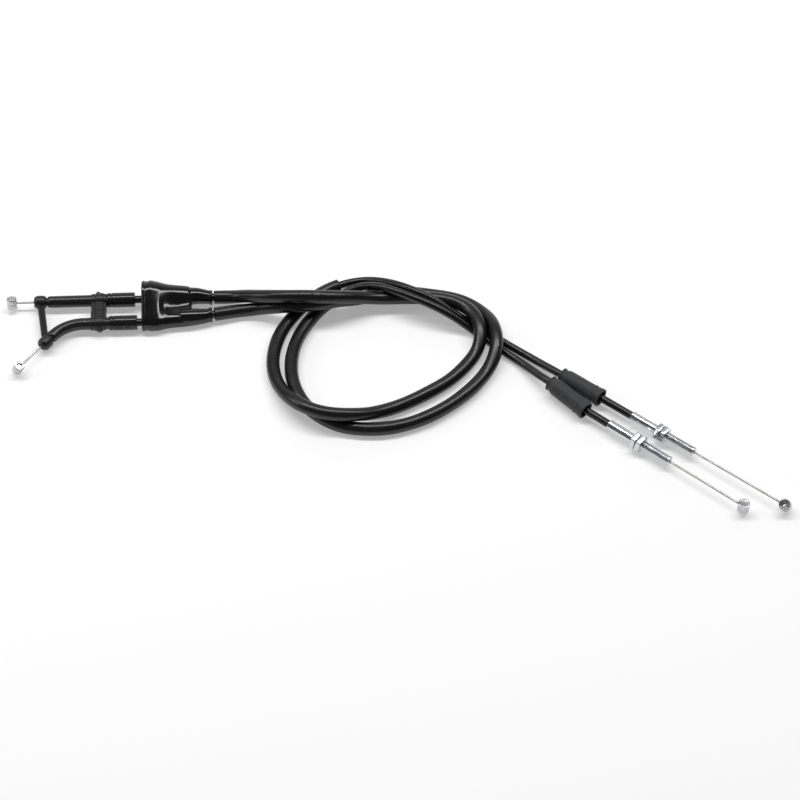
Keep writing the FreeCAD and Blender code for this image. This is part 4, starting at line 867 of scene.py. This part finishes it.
def shell_between(rows, fr):
    """A closed loft through (x, more radius) rows of the slumped outline round its two lobes."""
    rings = []
    for x, more in rows:
        ya, za, ra, yb, zb, rb = [float(np.interp(x, SHELL[:, 0], SHELL[:, c])) for c in range(1, 7)]
        ra, rb = ra + more, rb + more
        lean, flare = math.atan2(za - zb, ya - yb), math.asin((ra - rb) / math.hypot(za - zb, ya - yb))
        top, under = lean + flare + math.pi / 2, lean - flare - math.pi / 2
        far = [(ya + ra * math.cos(t), za + ra * math.sin(t)) for t in np.linspace(under, top, 36)]
        near = [(yb + rb * math.cos(t), zb + rb * math.sin(t))
                for t in np.linspace(top, under + 2 * math.pi, 28)]
        # between the two cables the skin sags
        p, q, sag = np.array(far[-1]), np.array(near[0]), float(np.interp(x, *SAG))
        web = [p + (q - p) * t - np.array([0, sag * math.sin(math.pi * t) ** 2])
               for t in np.arange(1, 16) / 16.0]
        ring = np.array(far + [tuple(w) for w in web] + near)
        rings.append(np.column_stack([np.full(len(ring), x), ring]))
    V = np.concatenate(rings)
    n = len(rings[0])
    F = grid_faces(len(rings), n, False)
    V = np.vstack([V, [rings[0].mean(0), rings[-1].mean(0)]])
    a, last = len(rings) * n, (len(rings) - 1) * n
    F += [(a, (j + 1) % n, j) for j in range(n)]
    F += [(a + 1, last + j, last + (j + 1) % n) for j in range(n)]
    return fr.pt(V), F


rim = [(0.0, -0.5), (0.35, -0.1), (0.9, 0.03), (1.7, 0.0), (2.3, -0.4), (2.9, -0.5), (3.8, -0.32),
       (5.0, -0.08)]
body_rows = [(x, 0.0) for x in np.arange(6.0, 29.0, 0.6)] + [(29.6, -0.25), (30.4, -0.9), (30.8, -1.8)]
parts = [shell_between(rim + body_rows, boot_fr)]
NECKS = (((10.75, -0.05), (11.29, -0.5), (10.74, -0.75), (10.1, -0.72), (9.83, -0.68)),
         ((-6.1, -0.45), (-5.77, -0.5), (-5.25, -0.75), (-4.75, -0.72), (-4.4, -0.68)))
for p0, p1, p2, p3, p4 in NECKS:
    parts.append(tube_between(
        [(24.0, *p0, 0, 5.3), (29.6, *p0, 0, 5.45), (34.0, *p1, 0, 5.15), (38.7, *p2, 0, 4.65),
         (41.3, *p3, 0, 4.4), (41.9, *p4, 0, 4.45), (42.3, *p4, 0, 4.72), (43.3, *p4, 0, 4.75),
         (43.6, *p4, 0, 4.5)], boot_fr, sub=4))
outer_ob = melted("twin_boot_skin", parts, 0.28, smooth=5)
cores = [shell_between([(-0.6, -0.9), (0.6, -0.9), (6.0, -0.75), (10.7, -0.7), (13.8, -0.95), (17.0, -1.0),
                        (20.7, -1.0), (26.3, -1.0), (28.6, -1.4)], boot_fr)]
for p0, p1, p2, p3, p4 in NECKS:
    cores.append(tube_between(
        [(24.0, p0[0] - 0.2, -0.2, 0, 4.4), (27.0, p0[0] - 0.2, -0.2, 0, 4.5), (30.0, *p0, 0, 4.6),
         (34.0, *p1, 0, 4.4), (38.7, *p2, 0, 3.9), (41.3, *p3, 0, 3.7), (44.4, *p4, 0, 3.7)],
        boot_fr, sub=3))
core_ob = melted("boot_core", cores, 0.4, smooth=3)
shift = Vector((core_ob["cx"] - outer_ob["cx"], core_ob["cy"] - outer_ob["cy"],
                core_ob["cz"] - outer_ob["cz"]))
core_ob.location = shift
bpy.context.view_layer.update()
cut = outer_ob.modifiers.new("hollow", "BOOLEAN")
cut.operation = "DIFFERENCE"
cut.solver = "MANIFOLD"
cut.object = core_ob
evaluated(outer_ob)
bpy.data.objects.remove(core_ob)
settle(outer_ob)
outer_ob.data.set_sharp_from_angle(angle=math.radians(50))
finish_piece(outer_ob, "twin_boot_body", M["boot"], ["twin_boot"])

# ------------------------------------------------------------------ dust boots

def dust_boot(name, body, node, o, d, nub):
    fr = Frame(o, d)
    line = straight(fr, 40)
    up = facing(line, 14.0, CAM)
    L = 29.3
    outline = [(0, 2.85, 0.1), (0, 4.6, 0.2), (0.15, 4.85, 0.15), (0.95, 4.85, 0.2), (1.15, 4.5, 0.15),
               (2.4, 4.55), (3.0, 4.7), (3.7, 4.95), (4.6, 5.2)] \
        + [(x, 5.25) for x in np.linspace(5.2, 22.6, 70)] \
        + [(23.0, 5.27), (23.25, 5.42), (23.55, 5.47), (23.9, 5.4), (24.3, 5.24), (24.9, 5.24),
           (25.8, 5.34), (26.8, 5.52), (27.6, 5.68), (28.6, 5.74, 0.25), (L, 5.62, 0.25),
           (L, 4.75, 0.2), (28.5, 4.42), (27.0, 4.34)] \
        + [(x, 4.3) for x in np.linspace(25, 5.6, 20)] + [(5.0, 4.3, 0.3), (4.2, 2.85, 0.2)]

    def soft(x, a, r):
        skin = r > 4.45
        k = 0.055 * np.sin(2 * a + 0.5) + 0.03 * np.sin(3 * a + x * 0.25) \
            + 0.03 * np.sin(x * 0.55 + 1.3)
        crease = 0.10 * np.exp(-((x - 23.5) / 1.2) ** 2) * np.sin(2 * a + 1.1)
        side = (a - up + 0.1 + math.pi) % (2 * math.pi) - math.pi
        dip = -0.10 * np.exp(-((x - 13) / 7.0) ** 2 - (side / 0.9) ** 2)
        g = 0
        if nub:
            d2 = (x - 12.6) ** 2 + (((a - up - 0.28 + math.pi) % (2 * math.pi) - math.pi) * 5.25) ** 2
            g = 0.42 * np.exp(-(d2 / 0.6) ** 2)
        return r + (k + crease + dip + g) * skin * np.clip((r - 4.4) / 0.3, 0, 1)

    ob = lathe(name, line, outline, seg=112, warp=soft, angle=40)
    return finish_piece(ob, body, M["dust"], [node])


dust_boot("pull_dust_skin", "pull_dust_boot_body", "pull_dust_boot",
          PULL_TAIL[0] + PULL_TAIL[1] * -0.5, PULL_TAIL[1], False)
dust_boot("return_dust_skin", "return_dust_boot_body", "return_dust_boot",
          RETURN_DUST[0] + RETURN_DUST[1] * 0.7, RETURN_DUST[1], True)

# ------------------------------------------------------------------ the pieces kept as designed

for node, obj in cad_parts.items():
    if obj.hide_render:
        continue
    kind = "winding" if "winding" in node else "liner" if "liner" in node else "wire"
    obj.data.materials.clear()
    obj.data.materials.append(M[kind])

# ------------------------------------------------------------------ floor, light, camera

floor_me = bpy.data.meshes.new("floor")
floor_me.from_pydata([(-4, -4, 0), (4, -4, 0), (4, 8, 0), (-4, 8, 0)], [], [(0, 1, 2, 3)])
floor = bpy.data.objects.new("floor", floor_me)
floor.location = (0, 0, -0.0001)
bpy.context.scene.collection.objects.link(floor)
fm = bpy.data.materials.new("floor")
fm.use_nodes = True
fb = fm.node_tree.nodes["Principled BSDF"]
fb.inputs["Base Color"].default_value = (0.78, 0.78, 0.78, 1)
fb.inputs["Roughness"].default_value = 0.8
fb.inputs["Specular IOR Level"].default_value = 0.1
fb.inputs["Emission Color"].default_value = (1, 1, 1, 1)
fb.inputs["Emission Strength"].default_value = 0.32
floor_me.materials.append(fm)


def panel(name, where, toward, size, bright):
    """A soft box of the given radiance, facing a point."""
    lamp = bpy.data.lights.new(name, "AREA")
    lamp.shape = "RECTANGLE"
    lamp.size, lamp.size_y = size
    lamp.energy = bright * math.pi * size[0] * size[1]
    ob = bpy.data.objects.new(name, lamp)
    ob.location = where
    ob.rotation_euler = (Vector(toward) - Vector(where)).to_track_quat("-Z", "Y").to_euler()
    bpy.context.scene.collection.objects.link(ob)
    return ob


panel("top_strip", (0.0, 0.42, 1.5), (0, 0.02, 0), (2.6, 0.26), 11.0)
panel("left_box", (-1.2, 0.05, 0.65), (0, 0.02, 0), (0.5, 0.35), 4.0)

world = bpy.data.worlds.new("studio")
world.use_nodes = True
bpy.context.scene.world = world
wn, wl = world.node_tree.nodes, world.node_tree.links
bg = wn["Background"]
co = wn.new("ShaderNodeTexCoord")
sep = wn.new("ShaderNodeSeparateXYZ")
half = wn.new("ShaderNodeMath")
half.operation = "MULTIPLY_ADD"
half.inputs[1].default_value = 0.5
half.inputs[2].default_value = 0.5
ramp = wn.new("ShaderNodeValToRGB")
wl.new(co.outputs["Generated"], sep.inputs[0])
wl.new(sep.outputs["Y"], half.inputs[0])
wl.new(half.outputs[0], ramp.inputs["Fac"])
e = ramp.color_ramp.elements
e[0].position, e[0].color = 0.0, (0.12, 0.12, 0.12, 1)
e[1].position, e[1].color = 1.0, (0.9, 0.9, 0.9, 1)
for pos, val in ((0.25, 0.10), (0.5, 0.10), (0.7, 0.16), (0.85, 0.42)):
    k = e.new(pos)
    k.color = (val, val, val, 1)
wl.new(ramp.outputs["Color"], bg.inputs["Color"])
bg.inputs["Strength"].default_value = 1.0

cam_data = bpy.data.cameras.new("camera")
cam_data.lens = 126.0
cam_data.sensor_width = 36.0
cam_data.clip_start, cam_data.clip_end = 0.05, 50.0
cam = bpy.data.objects.new("camera", cam_data)
cam.location = CAM * MM
cam.rotation_euler = (math.pi / 2 - EL, 0, 0)
bpy.context.scene.collection.objects.link(cam)
bpy.context.scene.camera = cam
bpy.context.scene.view_settings.view_transform = "Standard"
